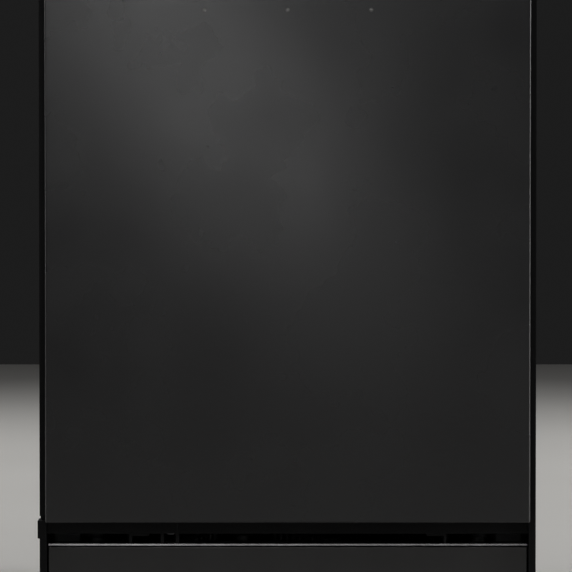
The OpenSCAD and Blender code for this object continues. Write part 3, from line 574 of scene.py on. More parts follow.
handle_low, handle_high, handle_middle = extent("handle")
BAR_R, POST_X = 7.0, 130 * MM
bar_half = handle_high.x / MM
bar_centre = Vector((0, handle_low.y + BAR_R * MM, handle_middle.z))
ends = dome(BAR_R, 4, bar_half - 4)
bar = turned("handle_finished", [(r, -h) for r, h in reversed(ends)] + ends, bar_centre, "X")
reach = (FACE_Y - bar_centre.y) / MM
flange = [(6, reach - 5), (6.6, reach - 3), (8.2, reach - 1.6), (9, reach - 1.2), (9, reach)]
post_profile = [(0, 0), (6, 0)] + flange + [(2.5, reach), (2.5, reach + 10), (0, reach + 10)]
posts = [turned("post", post_profile, bar_centre + Vector((side * POST_X, 0, 0)), "Y") for side in (-1, 1)]
settle(joined(bar, posts), "handle")

tip = [(r, -h) for r, h in reversed(dome(1.42, 0.25, 0.15))]
lens_profile = tip + [(1.45, 1.3), (3, 1.3), (3, 3.1), (1.45, 3.1), (1.45, 8), (0, 8)]
lenses = [turned("indicator_lens", lens_profile, spot, "Y", 32) for spot in light_spots]
settle(joined(lenses[0], lenses[1:]), "indicator_lights")
print("handle bar", round(2 * bar_half), "mm long, lights", round(LIGHT_PITCH / MM, 1), "mm apart")

# %% [markdown]
# ## Keys and lock knob
#
# The controls lie in the top edge of the drawer, out of sight from the front. The three keys are dished so
# that a finger finds them: a very large cylinder takes half a millimetre out of each top. The knob has a
# chamfered disc and a grip bar across it.

# %% Keys and knob
DISH_R, DISH_DEEP = 100, 0.5
for node in ("start_button", "stop_button", "fan_button"):
    low, high, middle = extent(node)
    key = rounded_box(node + "_finished", low, high, 0.7)
    above = Vector((middle.x, middle.y, high.z + (DISH_R - DISH_DEEP) * MM))
    punch(key, [turned("dish", rod_profile(DISH_R, -8, 8), above, "Y", 720)])
    settle(key, node)

knob_low, knob_high, knob_middle = extent("lock_knob")
knob_centre = Vector((knob_middle.x, knob_middle.y, knob_low.z))
rise = (knob_high.z - knob_low.z) / MM
knob = turned("lock_knob_finished", [(0, 0), (3, 0), (3, rise - 3.7), (6.4, rise - 3.7), (6.8, rise - 3.3),
                                     (6.8, rise - 2.5), (6.3, rise - 2), (0, rise - 2)], knob_centre)
grip = rounded_box("grip", (knob_centre.x - 1.5 * MM, knob_low.y + 0.8 * MM, knob_high.z - 2.2 * MM),
                   (knob_centre.x + 1.5 * MM, knob_high.y - 0.8 * MM, knob_high.z), 0.6)
settle(joined(knob, [grip]), "lock_knob")
print("keys and knob stand", round(rise, 1), "mm tall, from stem to grip")

# %% [markdown]
# ## Geometry Nodes for what repeats
#
# Three small trees make everything that repeats. The first sets an item out on points: each point carries
# its own rotation in an attribute called `turn`. The second winds a section into a helix, which is a
# thread when the section is square and a spring when it is round. The third draws a section along a path
# and rounds the path's corners, which is how a seal or a rolled rim is made. Each tree has named inputs,
# takes its material as one of them, and leaves plain geometry behind.

# %% Tree helpers
def start_tree(name, inputs):
    """A Geometry Nodes tree with these named inputs. Returns the tree and its input node's sockets."""
    tree = bpy.data.node_groups.new(name, "GeometryNodeTree")
    tree.interface.new_socket("Geometry", in_out="INPUT", socket_type="NodeSocketGeometry")
    for label, kind in inputs.items():
        tree.interface.new_socket(label, in_out="INPUT", socket_type="NodeSocket" + kind)
    tree.interface.new_socket("Geometry", in_out="OUTPUT", socket_type="NodeSocketGeometry")
    return tree, tree.nodes.new("NodeGroupInput").outputs


def end_tree(tree, geometry, finish):
    """Makes instances real, sets the material and ends the tree."""
    real = add_node(tree, "GeometryNodeRealizeInstances", inputs={0: geometry})
    painted = add_node(tree, "GeometryNodeSetMaterial",
                       inputs={"Geometry": real.outputs[0], "Material": finish})
    add_node(tree, "NodeGroupOutput", inputs={0: painted.outputs[0]})
    return tree


def section_curve(tree, item):
    """The section object's outline as a curve."""
    section = add_node(tree, "GeometryNodeObjectInfo", inputs={"Object": item})
    return add_node(tree, "GeometryNodeMeshToCurve", inputs={"Mesh": section.outputs["Geometry"]}).outputs[0]


def run_tree(piece, tree, values):
    """Runs the tree on the piece with these named values, and keeps the result as a plain mesh."""
    modifier = piece.modifiers.new(tree.name, "NODES")
    modifier.node_group = tree
    for socket in tree.interface.items_tree:
        if socket.item_type == "SOCKET" and socket.in_out == "INPUT" and socket.name in values:
            modifier[socket.identifier] = values[socket.name]
    return plain_mesh(piece)


print("trees are built by", start_tree.__name__, "and run by", run_tree.__name__)

# %% [markdown]
# The points' rotations are Euler angles, read with a Named Attribute node. The helix comes from the
# Spiral node, whose normals are set to stand square to its axis so that the section never rolls over.
# In the third tree the corners are rounded by a poly fillet.

# %% The three trees
set_out, given = start_tree("set_out_on_points", {"Item": "Object", "Finish": "Material"})
item = add_node(set_out, "GeometryNodeObjectInfo", inputs={"Object": given["Item"]})
turn = add_node(set_out, "GeometryNodeInputNamedAttribute", {"data_type": "FLOAT_VECTOR"}, {"Name": "turn"})
angles = add_node(set_out, "FunctionNodeEulerToRotation", inputs={0: turn.outputs[0]})
copies = add_node(set_out, "GeometryNodeInstanceOnPoints",
                  inputs={"Points": given["Geometry"], "Instance": item.outputs["Geometry"],
                          "Rotation": angles.outputs[0]})
end_tree(set_out, copies.outputs[0], given["Finish"])

wind, given = start_tree("wind_a_section", {"Section": "Object", "Radius": "Float", "Pitch": "Float",
                                            "Height": "Float", "Steps": "Int", "Centre": "Vector",
                                            "Finish": "Material"})
turns = add_node(wind, "ShaderNodeMath", {"operation": "DIVIDE"}, {0: given["Height"], 1: given["Pitch"]})
spiral = add_node(wind, "GeometryNodeCurveSpiral",
                  inputs={"Resolution": given["Steps"], "Rotations": turns.outputs[0],
                          "Start Radius": given["Radius"], "End Radius": given["Radius"],
                          "Height": given["Height"]})
upright = add_node(wind, "GeometryNodeSetCurveNormal", {"mode": "Z_UP"}, {"Curve": spiral.outputs[0]})
wound = add_node(wind, "GeometryNodeCurveToMesh",
                 inputs={"Curve": upright.outputs[0], "Profile Curve": section_curve(wind, given["Section"]),
                         "Fill Caps": True})
moved = add_node(wind, "GeometryNodeTransform",
                 inputs={"Geometry": wound.outputs[0], "Translation": given["Centre"]})
end_tree(wind, moved.outputs[0], given["Finish"])

draw, given = start_tree("draw_along_a_path", {"Section": "Object", "Corner": "Float", "Finish": "Material"})
path = add_node(draw, "GeometryNodeMeshToCurve", inputs={"Mesh": given["Geometry"]})
eased = add_node(draw, "GeometryNodeFilletCurve", {"mode": "POLY"},
                 {"Curve": path.outputs[0], "Radius": given["Corner"], "Count": 6})
level = add_node(draw, "GeometryNodeSetCurveNormal", {"mode": "Z_UP"}, {"Curve": eased.outputs[0]})
drawn = add_node(draw, "GeometryNodeCurveToMesh",
                 inputs={"Curve": level.outputs[0], "Profile Curve": section_curve(draw, given["Section"]),
                         "Fill Caps": True})
end_tree(draw, drawn.outputs[0], given["Finish"])
print("trees:", [tree.name for tree in (set_out, wind, draw)])

# %% [markdown]
# More helpers feed the trees. One makes the points, from places and the directions that each item's
# Z axis and X axis take. Another makes a section or a path from a list of corners. The last three run one
# tree each: items set out, a thread or spring wound up, and a section drawn along a path.

# %% Points, sections and paths
def place_points(name, spots):
    """Points for the first tree: each spot is (place, where Z looks, where X looks)."""
    mesh = bpy.data.meshes.new(name)
    mesh.from_pydata([tuple(spot[0]) for spot in spots], [], [])
    turns = mesh.attributes.new("turn", "FLOAT_VECTOR", "POINT")
    for value, (_, up, along) in zip(turns.data, spots):
        z = Vector(up).normalized()
        y = z.cross(Vector(along)).normalized()
        value.vector = Matrix((y.cross(z), y, z)).transposed().to_euler()
    return new_object(name, mesh)


def outline(name, corners, closed=True):
    """Edges through these corners, in metres, as an object."""
    mesh = bpy.data.meshes.new(name)
    count = len(corners)
    edges = [(k, (k + 1) % count) for k in range(count if closed else count - 1)]
    mesh.from_pydata([tuple(c) for c in corners], edges, [])
    return new_object(name, mesh)


def set_out_items(name, spots, item, finish):
    """One mesh of this item at every spot. The item itself is thrown away."""
    points = run_tree(place_points(name, spots), set_out, {"Item": item, "Finish": finish})
    bpy.data.objects.remove(item)
    return points


def wind_thread(section, radius, pitch, height, steps, foot, name="thread", finish="bright_steel"):
    """The section wound up from foot. Lengths in metres."""
    return run_tree(outline(name, [(0, 0, 0)], closed=False), wind,
                    {"Section": section, "Radius": radius, "Pitch": pitch, "Height": height, "Steps": steps,
                     "Centre": foot, "Finish": FINISH[finish]})


def drawn_along(name, corners, section, corner, finish, closed=True):
    """The section drawn along these corners, eased by this radius in metres. The section is thrown away."""
    drawn = run_tree(outline(name, corners, closed), draw,
                     {"Section": section, "Corner": corner, "Finish": FINISH[finish]})
    bpy.data.objects.remove(section)
    return drawn


circle = [(math.cos(2 * math.pi * k / 12), math.sin(2 * math.pi * k / 12), 0) for k in range(12)]
print("a round section has", len(circle), "corners")

# %% [markdown]
# ## Screws
#
# Twenty-two pan-head screws hold the press frame and the rear cover. Each head is a low dome with a cross
# recess, and no two crosses stand at the same angle, because nobody lines them up. The angles come from a
# fixed seed.

# %% Pan-head screws
screw_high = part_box("cabinet_screws")[1]
HEAD_R, HEAD_H, SHANK_R = 4.0, 1.5, 2.1


def cross_head(name):
    """A pan head with a cross recess, standing on Z, with a short shank below."""
    head = turned(name, [(0, -4), (SHANK_R, -4), (SHANK_R, 0), (HEAD_R, 0), (HEAD_R, 0.5)]
                  + dome(HEAD_R, HEAD_H - 0.5, 0.5)[1:], (0, 0, 0), "Z", 32)
    slots = []
    for wide, long in ((0.45 * MM, 2.0 * MM), (2.0 * MM, 0.45 * MM)):
        slots.append(mesh_object("slot", box_shape((-wide, -long, 0.5 * MM), (wide, long, 3 * MM))))
    return punch(head, slots)


dice = random.Random(11)
screw_spots = []
for side in (-1, 1):
    for y in (-52, -16):
        for z in (110, 330, 550, 770):
            spin = dice.uniform(0, math.pi)
            screw_spots.append(((side * (screw_high.x - HEAD_H * MM), y * MM, z * MM), (side, 0, 0),
                                (0, math.cos(spin), math.sin(spin))))
for x in (-112, 0, 112):
    for z in (98, 422):
        spin = dice.uniform(0, math.pi)
        screw_spots.append(((x * MM, screw_high.y - HEAD_H * MM, z * MM), (0, 1, 0),
                            (math.cos(spin), 0, math.sin(spin))))
screws = set_out_items("pan_head_screws", screw_spots, cross_head("pan_head"), FINISH["bright_steel"])
settle(screws, "cabinet_screws")
print(len(screw_spots), "screws")

# %% [markdown]
# ## Chain
#
# The drive chain runs round the two screw sprockets and the drive gear's sprocket. Its pins lie at equal
# distances along that loop. Inner links, which carry the rollers, take turns with outer links, which carry
# the pins, so each kind is set out on every second gap.

# %% Chain links
CHAIN_PITCH, TEETH = 9.525, 14
PITCH_R = CHAIN_PITCH / (2 * math.sin(math.pi / TEETH))
screw_axis = extent("power_screw_left")[2].xy
gear_axis = extent("drive_gear")[2].xy
wheels = [screw_axis, Vector((-screw_axis.x, screw_axis.y)), gear_axis]
CHAIN_Z = extent("drive_chain")[2].z

loop = []
for k, wheel in enumerate(wheels):
    before, after = wheels[k - 1], wheels[(k + 1) % 3]
    start = (wheel - before).normalized()
    stop = (after - wheel).normalized()
    a0 = math.atan2(-start.x, start.y)
    a1 = math.atan2(-stop.x, stop.y)
    a1 += 2 * math.pi * (a1 < a0)
    loop += [wheel + PITCH_R * MM * Vector((math.cos(a), math.sin(a)))
             for a in (a0 + (a1 - a0) * i / 24 for i in range(25))]
lengths = [(b - a).length for a, b in zip(loop, loop[1:] + loop[:1])]
links = 2 * round(sum(lengths) / (CHAIN_PITCH * MM) / 2)
link_pitch = sum(lengths) / links


def on_loop(distance):
    """The point this far along the loop."""
    for a, b, length in zip(loop, loop[1:] + loop[:1], lengths):
        if distance <= length:
            return a.lerp(b, distance / length)
        distance -= length
    return loop[0].copy()


pins = [on_loop(k * link_pitch) for k in range(links)]
print(links, "links at", round(link_pitch / MM, 2), "mm")

# %% [markdown]
# A link plate is two discs with a waist between them. Each plate is drawn as an outline and pushed to its
# thickness. The rollers and pins are short cylinders.

# %% Link shapes
def link_plates(name, levels, thickness):
    """Two waisted plates at plus and minus levels, as one mesh, along X."""
    half = link_pitch / MM / 2
    arc = [math.radians(a) for a in range(60, 301, 20)]
    left = [(-half + 4.3 * math.cos(a), 4.3 * math.sin(a)) for a in arc]
    ring = left + [(0, -3.1)] + [(-x, -y) for x, y in left] + [(0, 3.1)]
    shape = bmesh.new()
    for z in levels:
        low = [shape.verts.new((x * MM, y * MM, z * MM)) for x, y in ring]
        face = shape.faces.new(low)
        top = bmesh.ops.extrude_face_region(shape, geom=[face])["geom"]
        bmesh.ops.translate(shape, verts=[v for v in top if isinstance(v, bmesh.types.BMVert)],
                            vec=(0, 0, thickness * MM))
    bmesh.ops.recalc_face_normals(shape, faces=shape.faces)
    return mesh_object(name, shape)


half_link = link_pitch / 2
inner = link_plates("inner_link", (3.0, -3.9), 0.9)
outer = link_plates("outer_link", (4.0, -4.9), 0.9)
rollers = [turned("roller", rod_profile(3.1, -2.9, 2.9), (x, 0, 0), "Z", 16) for x in (-half_link, half_link)]
rivets = [turned("rivet", [(0, -5.2), (1.6, -5.1), (1.6, 5.1), (0, 5.2)], (x, 0, 0), "Z", 12)
          for x in (-half_link, half_link)]
joined(inner, rollers)
joined(outer, rivets)
spots = [[], []]
for k, pin in enumerate(pins):
    following = pins[(k + 1) % links]
    spots[k % 2].append(((*((pin + following) / 2), CHAIN_Z), (0, 0, 1), (*(following - pin), 0)))
chain = set_out_items("drive_chain_finished", spots[0], inner, FINISH["bright_steel"])
outers = set_out_items("outer_links", spots[1], outer, FINISH["bright_steel"])
settle(joined(chain, [outers]), "drive_chain")
print("chain", len(chain.data.polygons), "faces")

# %% [markdown]
# ## Power screws
#
# Each screw has a square thread, 5 mm from turn to turn, as press screws have, because a square flank
# takes the load without wedging. The thread is one square section wound about 150 times round a core.
# Below it the sprocket and hub are the CAD ones, cut off from the rod, with their edges rounded.

# %% Power screws
SCREW_R, LEAD, CORE_R = 10.0, 5.0, 7.4
cut_z = CHAIN_Z + 6 * MM
square_section = outline("square_section", [(x * MM, y * MM, 0) for x, y in
                                            ((-1.25, -1.35), (1.25, -1.35), (1.25, 1.35), (-1.25, 1.35))])
for node in ("power_screw_left", "power_screw_right"):
    low, high, middle = extent(node)
    centre = Vector((*middle.xy, 0))
    shape = cad_shape(node)
    cut = bmesh.ops.bisect_plane(shape, geom=shape.verts[:] + shape.edges[:] + shape.faces[:],
                                 plane_co=(0, 0, cut_z), plane_no=(0, 0, 1), clear_outer=True)["geom_cut"]
    bmesh.ops.holes_fill(shape, edges=[e for e in cut if isinstance(e, bmesh.types.BMEdge)])
    wheel = plain_mesh(add_bevel(mesh_object(node + "_finished", shape), 0.3, 2))
    base, top = cut_z / MM, high.z / MM
    core = turned("core", [(0, base), (SCREW_R, base), (SCREW_R, base + 6), (CORE_R, base + 8),
                           (CORE_R, top - 26), (9, top - 24), (9, top - 1), (8, top), (0, top)], centre)
    threaded = top - base - 36
    thread = wind_thread(square_section, (SCREW_R - 1.3) * MM, LEAD * MM, threaded * MM, 22,
                         centre + Vector((0, 0, (base + 8) * MM)))
    settle(joined(wheel, [core, thread]), node)
bpy.data.objects.remove(square_section)
print("threads", round(threaded), "mm long")

# %% [markdown]
# ## Pedal spring
#
# The spring under the toe panel's arm is the same tree with a round section. It shortens as the panel goes
# down, towards its foot on the base pan, so it is told to follow that joint.

# %% Pedal spring
spring_low, spring_high, spring_middle = extent("pedal_spring")
spring_foot = Vector((*spring_middle.xy, spring_low.z))
WIRE_R, COIL_PITCH, PEDAL_TIP = 0.8 * MM, 2.9 * MM, math.radians(5)
round_section = outline("round_section", [Vector(c) * WIRE_R for c in circle])
coil_r = (spring_high.x - spring_low.x) / 2 - WIRE_R
coil_height = spring_high.z - spring_low.z - 2 * WIRE_R
spring = wind_thread(round_section, coil_r, COIL_PITCH, coil_height, 28, spring_foot + Vector((0, 0, WIRE_R)),
                     "pedal_spring_finished")
bpy.data.objects.remove(round_section)
settle(spring, "pedal_spring")
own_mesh(spring)

# %% [markdown]
# ## Seal
#
# The seal is a hollow bulb on a flat foot, glued round three sides of the liner. Its section is half of a
# flattened circle, drawn along an upside-down U whose corners are eased.

# %% Seal
seal_low, seal_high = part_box("drawer_gasket")
SEAL_W = 10 * MM
bulb = [(-SEAL_W / 2, 0, 0)] + [(SEAL_W * 0.36 * math.cos(a), (0.5 + 2.0 * math.sin(a)) * MM, 0)
                                for a in (math.pi * (1 - k / 12) for k in range(13))] + [(SEAL_W / 2, 0, 0)]
bulb_section = outline("bulb_section", bulb)
x, z = seal_high.x - SEAL_W / 2, seal_high.z - SEAL_W / 2
around = [(-x, seal_low.z, 0), (-x, z, 0), (x, z, 0), (x, seal_low.z, 0)]
seal = drawn_along("drawer_gasket_finished", around, bulb_section, 6 * MM, "black_rubber", closed=False)
seal.data.transform(Matrix.Translation((0, seal_low.y, 0)) @ Matrix.Rotation(math.radians(90), 4, "X"))
deep = sorted(v.co.y for v in seal.data.vertices)
settle(seal, "drawer_gasket")
print("seal from y", round(deep[0] / MM, 1), "to", round(deep[-1] / MM, 1))

# %% [markdown]
# ## Beads
#
# Thin sheet is stiffened by beads, which are long soft ridges pressed into it. A bead rises a little more
# than a millimetre out of the sheet and runs out into it on all sides, so it has no edge of its own. The
# bin has four on each of three sides, the top cover has three and the rear cover two.

# %% Beads and the bin
def bead(length, radius, proud):
    """A ridge along X with round ends, whose height falls off like a wave from its middle line, in mm."""
    shape = bmesh.new()
    rings, steps = [], 10
    for level in range(6):
        share = level / 5
        across = radius * share
        rise = (proud + 0.15) * (0.5 + 0.5 * math.cos(math.pi * share)) - 0.15
        ring = []
        for end in (1, -1):
            for k in range(steps + 1):
                a = math.pi * k / steps - math.pi / 2
                ring.append((end * (length / 2 - radius + across * math.cos(a)),
                             end * across * math.sin(a), rise))
        rings.append([shape.verts.new([v * MM for v in corner]) for corner in ring])
    count = len(rings[0])
    for a, b in zip(rings, rings[1:]):
        for k in range(count):
            shape.faces.new((a[k], b[k], b[(k + 1) % count], a[(k + 1) % count]))
    bmesh.ops.remove_doubles(shape, verts=shape.verts, dist=0.001 * MM)
    shape.faces.ensure_lookup_table()
    if sum(f.normal.z for f in shape.faces) < 0:
        bmesh.ops.reverse_faces(shape, faces=shape.faces)
    return mesh_object("bead", shape)


def beaded(piece, beads, material):
    """Joins beads to a sheet piece: each is (length, radius, proud, [spots])."""
    ridges = [set_out_items("beads", where, bead(length, radius, proud), material)
              for length, radius, proud, where in beads]
    return joined(piece, ridges)


bin_low, bin_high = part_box("bin_body")
RIM_OUT = 6 * MM
wall_front, wall_back, wall_left = bin_low.y + RIM_OUT, bin_high.y - RIM_OUT, bin_low.x + RIM_OUT
middle_y = (wall_front + wall_back) / 2
levels = [bin_low.z + share * (bin_high.z - bin_low.z) for share in (0.18, 0.38, 0.58, 0.78)]
bin_piece = dress("bin_body", 0.9, 3)
front_back = [((0, wall_front, z), (0, -1, 0), (1, 0, 0)) for z in levels]
front_back += [((0, wall_back, z), (0, 1, 0), (1, 0, 0)) for z in levels]
sides = [((wall_left, middle_y, z), (-1, 0, 0), (0, 1, 0)) for z in levels]
beaded(bin_piece, [(200, 5, 1.3, front_back), (300, 5, 1.3, sides)], FINISH["bin_grey"])
print("bin with", len(front_back) + len(sides), "beads")

# %% [markdown]
# The bin's rim is rolled over a wire, so that hands can lift it. That roll is a round section drawn along
# the rim's outline.

# %% Rolled rim, top cover and rear cover
ROLL_R = 1.9 * MM
rim_x, rim_y0, rim_y1 = bin_high.x - ROLL_R, bin_low.y + ROLL_R, bin_high.y - ROLL_R
roll_section = outline("roll_section", [Vector(c) * ROLL_R for c in circle])
rim = [(-rim_x, rim_y0, 0), (rim_x, rim_y0, 0), (rim_x, rim_y1, 0), (-rim_x, rim_y1, 0)]
roll = drawn_along("rolled_rim", rim, roll_section, 8 * MM, "bin_grey")
roll.data.transform(Matrix.Translation((0, 0, bin_high.z - 1.5 * MM)))
joined(bin_piece, [roll])

top_high, top_middle = extent("top_cover")[1:]
cover_y = top_middle.y + 20 * MM
cover_beads = [((x * MM, cover_y, top_high.z), (0, 0, 1), (0, 1, 0)) for x in (-110, 0, 110)]
beaded(dress("top_cover", 0.4), [(380, 7, 1.4, cover_beads)], FINISH["galvanised"])
back_high, back_middle = extent("rear_cover")[1:]
back_beads = [((x * MM, back_high.y, back_middle.z), (0, 1, 0), (0, 0, 1)) for x in (-60, 60)]
beaded(bpy.data.objects["rear_cover_finished"], [(240, 6, 1.2, back_beads)], FINISH["galvanised"])
print("rim", round(2 * (rim_x + ROLL_R) / MM), "mm wide")

# %% [markdown]
# ## Louvres
#
# The fan blows out through seven slots in the rear wall. Each slot has a hood: the sheet beside it is
# pushed out into a shallow wedge that keeps dust and fingers out. The hoods are set out at the pitch of
# the slots.

# %% Louvre hoods
cab_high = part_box("cabinet_shell")[1]
SLOT_PITCH, SLOT_H, VENT_X, VENT_Z = 11.0, 68.0, 70.0, 710.8


def add_prism(shape, profile, x0, x1):
    """Adds a solid with this (y, z) profile, from x0 to x1, to the bmesh."""
    ends = [[shape.verts.new((x, y, z)) for y, z in profile] for x in (x0, x1)]
    shape.faces.new(ends[0])
    shape.faces.new(reversed(ends[1]))
    for k in range(len(profile)):
        shape.faces.new((ends[0][k - 1], ends[0][k], ends[1][k], ends[1][k - 1]))


def louvre_hood():
    """A wedge shell along X, open along one long side, that rises 2.2 mm on Z."""
    shape = bmesh.new()
    half, wide, high, skin = (SLOT_H / 2 + 2) * MM, 4.0 * MM, 2.2 * MM, 0.6 * MM
    add_prism(shape, ((-wide, 0), (wide, high), (wide, high - skin), (-wide + 1.5 * MM, 0)), -half, half)
    for x in (-half, half - skin):
        add_prism(shape, ((-wide, 0), (wide, 0), (wide, high)), x, x + skin)
    bmesh.ops.recalc_face_normals(shape, faces=shape.faces)
    return mesh_object("hood", shape)


hood_spots = [(((VENT_X + k * SLOT_PITCH) * MM, cab_high.y, VENT_Z * MM), (0, 1, 0), (0, 0, 1))
              for k in range(-3, 4)]
hoods = set_out_items("louvre_hoods", hood_spots, louvre_hood(), FINISH["frame_black"])
joined(bpy.data.objects["cabinet_shell_finished"], [hoods])
print(len(hood_spots), "hoods,", SLOT_PITCH, "mm apart")

# %% [markdown]
# ## Turned and moulded small parts
#
# Round parts are lathe work: one profile, turned about an axis. The levelling feet are a pad, a hexagon
# for the spanner and a threaded stud. The hexagon is the same lathe work in six steps instead of many,
# and the stud's thread comes from the winding tree.

# %% Feet
V_FORM = ((-0.5, -0.5), (0, 0.35), (0.5, -0.5))
stud_section = outline("stud_section", [(x * MM, y * MM, 0) for x, y in V_FORM])
pad_profile = [(0, 0), (15.2, 0), (16, 0.8), (16, 2.6), (15.2, 3.6), (12, 4.4), (11, 4.6), (0, 4.6)]
nut_profile = [(0, 4.5), (9, 4.5), (9.6, 5.1), (9.6, 6.6), (9, 7.2), (0, 7.2)]
for node in ("leg_front_left", "leg_front_right", "leg_rear_left", "leg_rear_right"):
    low, high, middle = extent(node)
    centre = Vector((*middle.xy, 0))
    top = high.z / MM
    foot = turned(node + "_finished", pad_profile, centre)
    nut = turned("nut", nut_profile, centre, steps=6)
    stud = turned("stud", [(0, 7), (3.5, 7), (3.5, top - 0.6), (3, top), (0, top)], centre, steps=24)
    thread = wind_thread(stud_section, 3.7 * MM, 1.25 * MM, (top - 10) * MM, 20,
                         centre + Vector((0, 0, 8.5 * MM)), finish="galvanised")
    settle(joined(foot, [nut, stud, thread]), node)
bpy.data.objects.remove(stud_section)
print("feet stand", round(low.z / MM, 1), "mm above the floor")

# %% [markdown]
# The rollers have a recessed web between hub and tread, with six ribs across it. The ribs stiffen the
# wheel, and they also let the eye see it roll.

# %% Rollers
ROLLER_W = 9.0


def roller_wheel(name, centre):
    """A nylon wheel on X with a web and six ribs."""
    half = ROLLER_W / 2
    web = [(3.08, -half), (5, -half), (5.4, -2.6), (8.3, -2.6), (8.7, -half), (10.3, -half), (11, -3.8)]
    wheel = turned(name, web + [(r, -h) for r, h in reversed(web)], centre, "X")
    ribs = []
    for k in range(6):
        a = math.pi * k / 3
        out = Vector((0, math.cos(a), math.sin(a)))
        ribs.append((centre + 6.85 * MM * out, (1, 0, 0), out))
    rib = mesh_object("rib", box_shape((-1.7 * MM, -0.5 * MM, -3.9 * MM), (1.7 * MM, 0.5 * MM, 3.9 * MM)))
    return joined(wheel, [set_out_items("ribs", ribs, rib, FINISH["white_nylon"])])


for node in ("front_rollers", "rear_rollers"):
    low, high, middle = extent(node)
    out = high.x - ROLLER_W / 2 * MM
    pair = [roller_wheel(node + "_finished", Vector((side * out, middle.y, middle.z))) for side in (-1, 1)]
    settle(joined(pair[0], pair[1:]), node)
print("rollers", round((high.z - low.z) / MM, 1), "mm across")

# %% [markdown]
# A bin bag is stretched over four small mushrooms, the bag buttons. The cord's gland is a flanged bush
# through the rear wall, and grooves in its neck let it bend with the cord.

# %% Bag buttons and cord gland
CAP_R = 4.5
bag_low, bag_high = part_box("bag_buttons")
stem = (bag_high.z - bag_low.z) / MM
stalk = [(0, 0), (3.4, 0), (2.8, 0.8), (2.8, stem - 2.8), (4.3, stem - 2.6), (CAP_R, stem - 2.2)]
mushroom = turned("mushroom", stalk + dome(CAP_R, 1.4, stem - 1.4, 5), (0, 0, 0), steps=28)
bag_spots = [((side * (bag_high.x - CAP_R * MM), y, bag_low.z), (0, 0, 1), (1, 0, 0))
             for side in (-1, 1) for y in (bag_low.y + CAP_R * MM, bag_high.y - CAP_R * MM)]
settle(set_out_items("bag_buttons_finished", bag_spots, mushroom, FINISH["black_plastic"]), "bag_buttons")

gland_low, gland_high, gland_middle = extent("cord_gland")
gland_centre = Vector((gland_middle.x, gland_high.y, gland_middle.z))
depth = (gland_high.y - gland_low.y) / MM
ring = [(4.2, 0), (5.2, 0), (10.2, -0.5), (11, -1.1), (11, -2.3), (8, -2.3), (8, -3.5), (11, -3.5),
        (11, -8.5), (8, -8.5)]
for k in range(3):
    ring += [(8, -10 - 2.4 * k), (6.8, -10.2 - 2.4 * k), (6.8, -11.4 - 2.4 * k), (8, -11.6 - 2.4 * k)]
ring += [(7.4, -depth), (4.2, -depth)]
settle(turned("cord_gland_finished", ring, gland_centre, "Y"), "cord_gland")
print("gland", round(depth, 1), "mm deep")

# %% [markdown]
# ## Ribs on the motor
#
# The motor's shell is cast with thirty shallow cooling ribs all round. They are one rounded bar, set out
# thirty times with its length up and its back outwards, and joined to the dressed CAD shape.

# %% Motor ribs
motor_low, motor_high, motor_middle = extent("motor")
motor_centre = Vector((gear_axis.x + 50 * MM, gear_axis.y, motor_middle.z))
motor_r, ribs = motor_high.x - motor_centre.x, 30
rib_long = (motor_high.z - motor_low.z) * 0.62
rib_corner = Vector((rib_long / 2, 1.1 * MM, 1.5 * MM))
rib = rounded_box("rib", -rib_corner, rib_corner, 0.6, 2)
rib_spots = []
for k in range(ribs):
    out = Vector((math.cos(2 * math.pi * k / ribs), math.sin(2 * math.pi * k / ribs), 0))
    rib_spots.append((motor_centre + out * motor_r, out, (0, 0, 1)))
cast_ribs = set_out_items("motor_ribs", rib_spots, rib, FINISH["motor_enamel"])
joined(bpy.data.objects["motor_finished"], [cast_ribs])
print(ribs, "ribs", round(rib_long / MM), "mm long, motor radius", round(motor_r / MM, 1))

# %% [markdown]
# ## The floor and the air
#
# The machine stands on a plain pale floor. The world is an even dim grey, which fills the shadows. A dark
# room with a few large lamps is what lets black paint look black and still show its shape.

# %% Floor and world
floor_finish = start_finish("pale_floor", "#d8d6d2", 0.6, grain=(3, 0.03), blotch=(400, 0.05))[0]
floor_shape = bmesh.new()
bmesh.ops.create_grid(floor_shape, x_segments=1, y_segments=1, size=4.0)
floor = mesh_object("floor", floor_shape, floor_finish)
floor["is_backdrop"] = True

world = bpy.data.worlds.new("grey_room")
world.use_nodes = True
world.node_tree.nodes["Background"].inputs["Color"].default_value = linear("#ffffff")
world.node_tree.nodes["Background"].inputs["Strength"].default_value = 0.012
bpy.context.scene.world = world
print("floor and world are in")

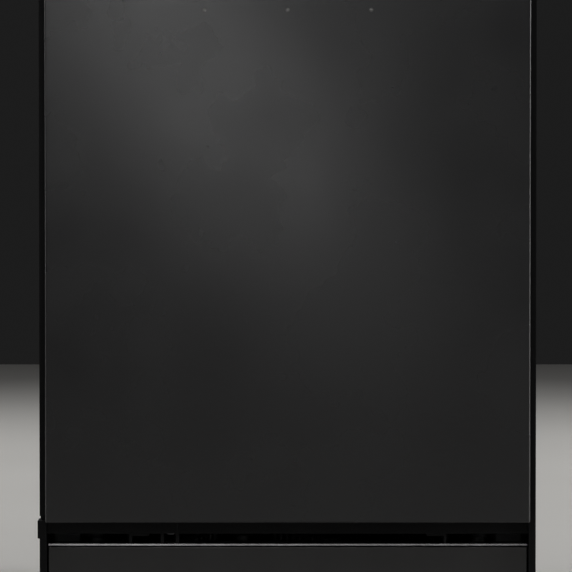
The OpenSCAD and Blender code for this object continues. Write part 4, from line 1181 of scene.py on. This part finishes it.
# %% [markdown]
# ## Lamps
#
# Every lamp is a softbox, which is a plain rectangle of light. The key is long and leans, so its
# reflection runs across the drawer front from upper left to lower right as a wide, dim cloud, and a
# weaker one carries its tail on to the right. A wall of light far in front gives the black its base tone.
# The ledge lamp hangs where the toe panel's top mirrors it. Tall ones at the sides draw the thin lines
# down the drawer's folded edges, and the right one is the stronger. Two at the back and one overhead
# light the machine when it is seen from behind or from above.

# %% Lamps
def softbox(name, place, target, size, watts, roll=0.0):
    """A rectangular lamp of (width, height) metres at place, which faces target and is rolled by degrees."""
    data = bpy.data.lights.new(name, "AREA")
    data.shape = "RECTANGLE"
    data.size, data.size_y = size
    data.energy = watts
    lamp = new_object(name, data)
    lamp.location = place
    aim = (Vector(target) - Vector(place)).to_track_quat("-Z", "Y")
    lamp.rotation_euler = (aim.to_matrix() @ Matrix.Rotation(math.radians(roll), 3, "Z")).to_euler()
    lamp.visible_camera = False
    return lamp


RIDGE = Vector((-0.101, FACE_Y, 0.497))
softbox("key", (-0.133, FACE_Y - 1.0, 0.541), RIDGE, (0.45, 0.06), 0.575, roll=-53)
softbox("key_tail", (0.057, FACE_Y - 1.0, 0.285), (0.043, FACE_Y, 0.305), (0.2, 0.06), 0.058, roll=-53)
softbox("front_wall", (0.0, FACE_Y - 5.0, 1.2), (0, FACE_Y, 0.5), (4.4, 3.0), 3.35)
softbox("ledge_lamp", (0.0, FACE_Y - 2.2, 1.15), (0, FACE_Y + 0.03, 0.1), (0.8, 0.14), 3.3)
softbox("side_left", (-3.0, FACE_Y - 0.6, 0.97), (-0.18, FACE_Y, 0.4), (0.6, 1.9), 20.0)
softbox("side_right", (3.0, FACE_Y - 0.6, 0.97), (0.18, FACE_Y, 0.4), (0.6, 1.9), 58.0)
softbox("back_left", (-1.6, 2.2, 1.3), (0, 0, 0.4), (1.4, 1.4), 20.0)
softbox("back_right", (1.6, 2.2, 1.3), (0, 0, 0.4), (1.4, 1.4), 20.0)
softbox("overhead", (0.0, 0.2, 2.6), (0, 0, 0), (1.6, 1.6), 14.0)

# %% [markdown]
# ## Size and the end
#
# How far the finished object's box grows past the CAD model's box is printed, for each side. The
# finished object may not outgrow the CAD model by more than a little.

# %% Sizes, and finish
seen_low, seen_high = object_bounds()
growth = [b - a for a, b in zip([*seen_low, *cad_high], [*cad_low, *seen_high])]
print("box grows by", [round(v / MM, 1) for v in growth], "mm")
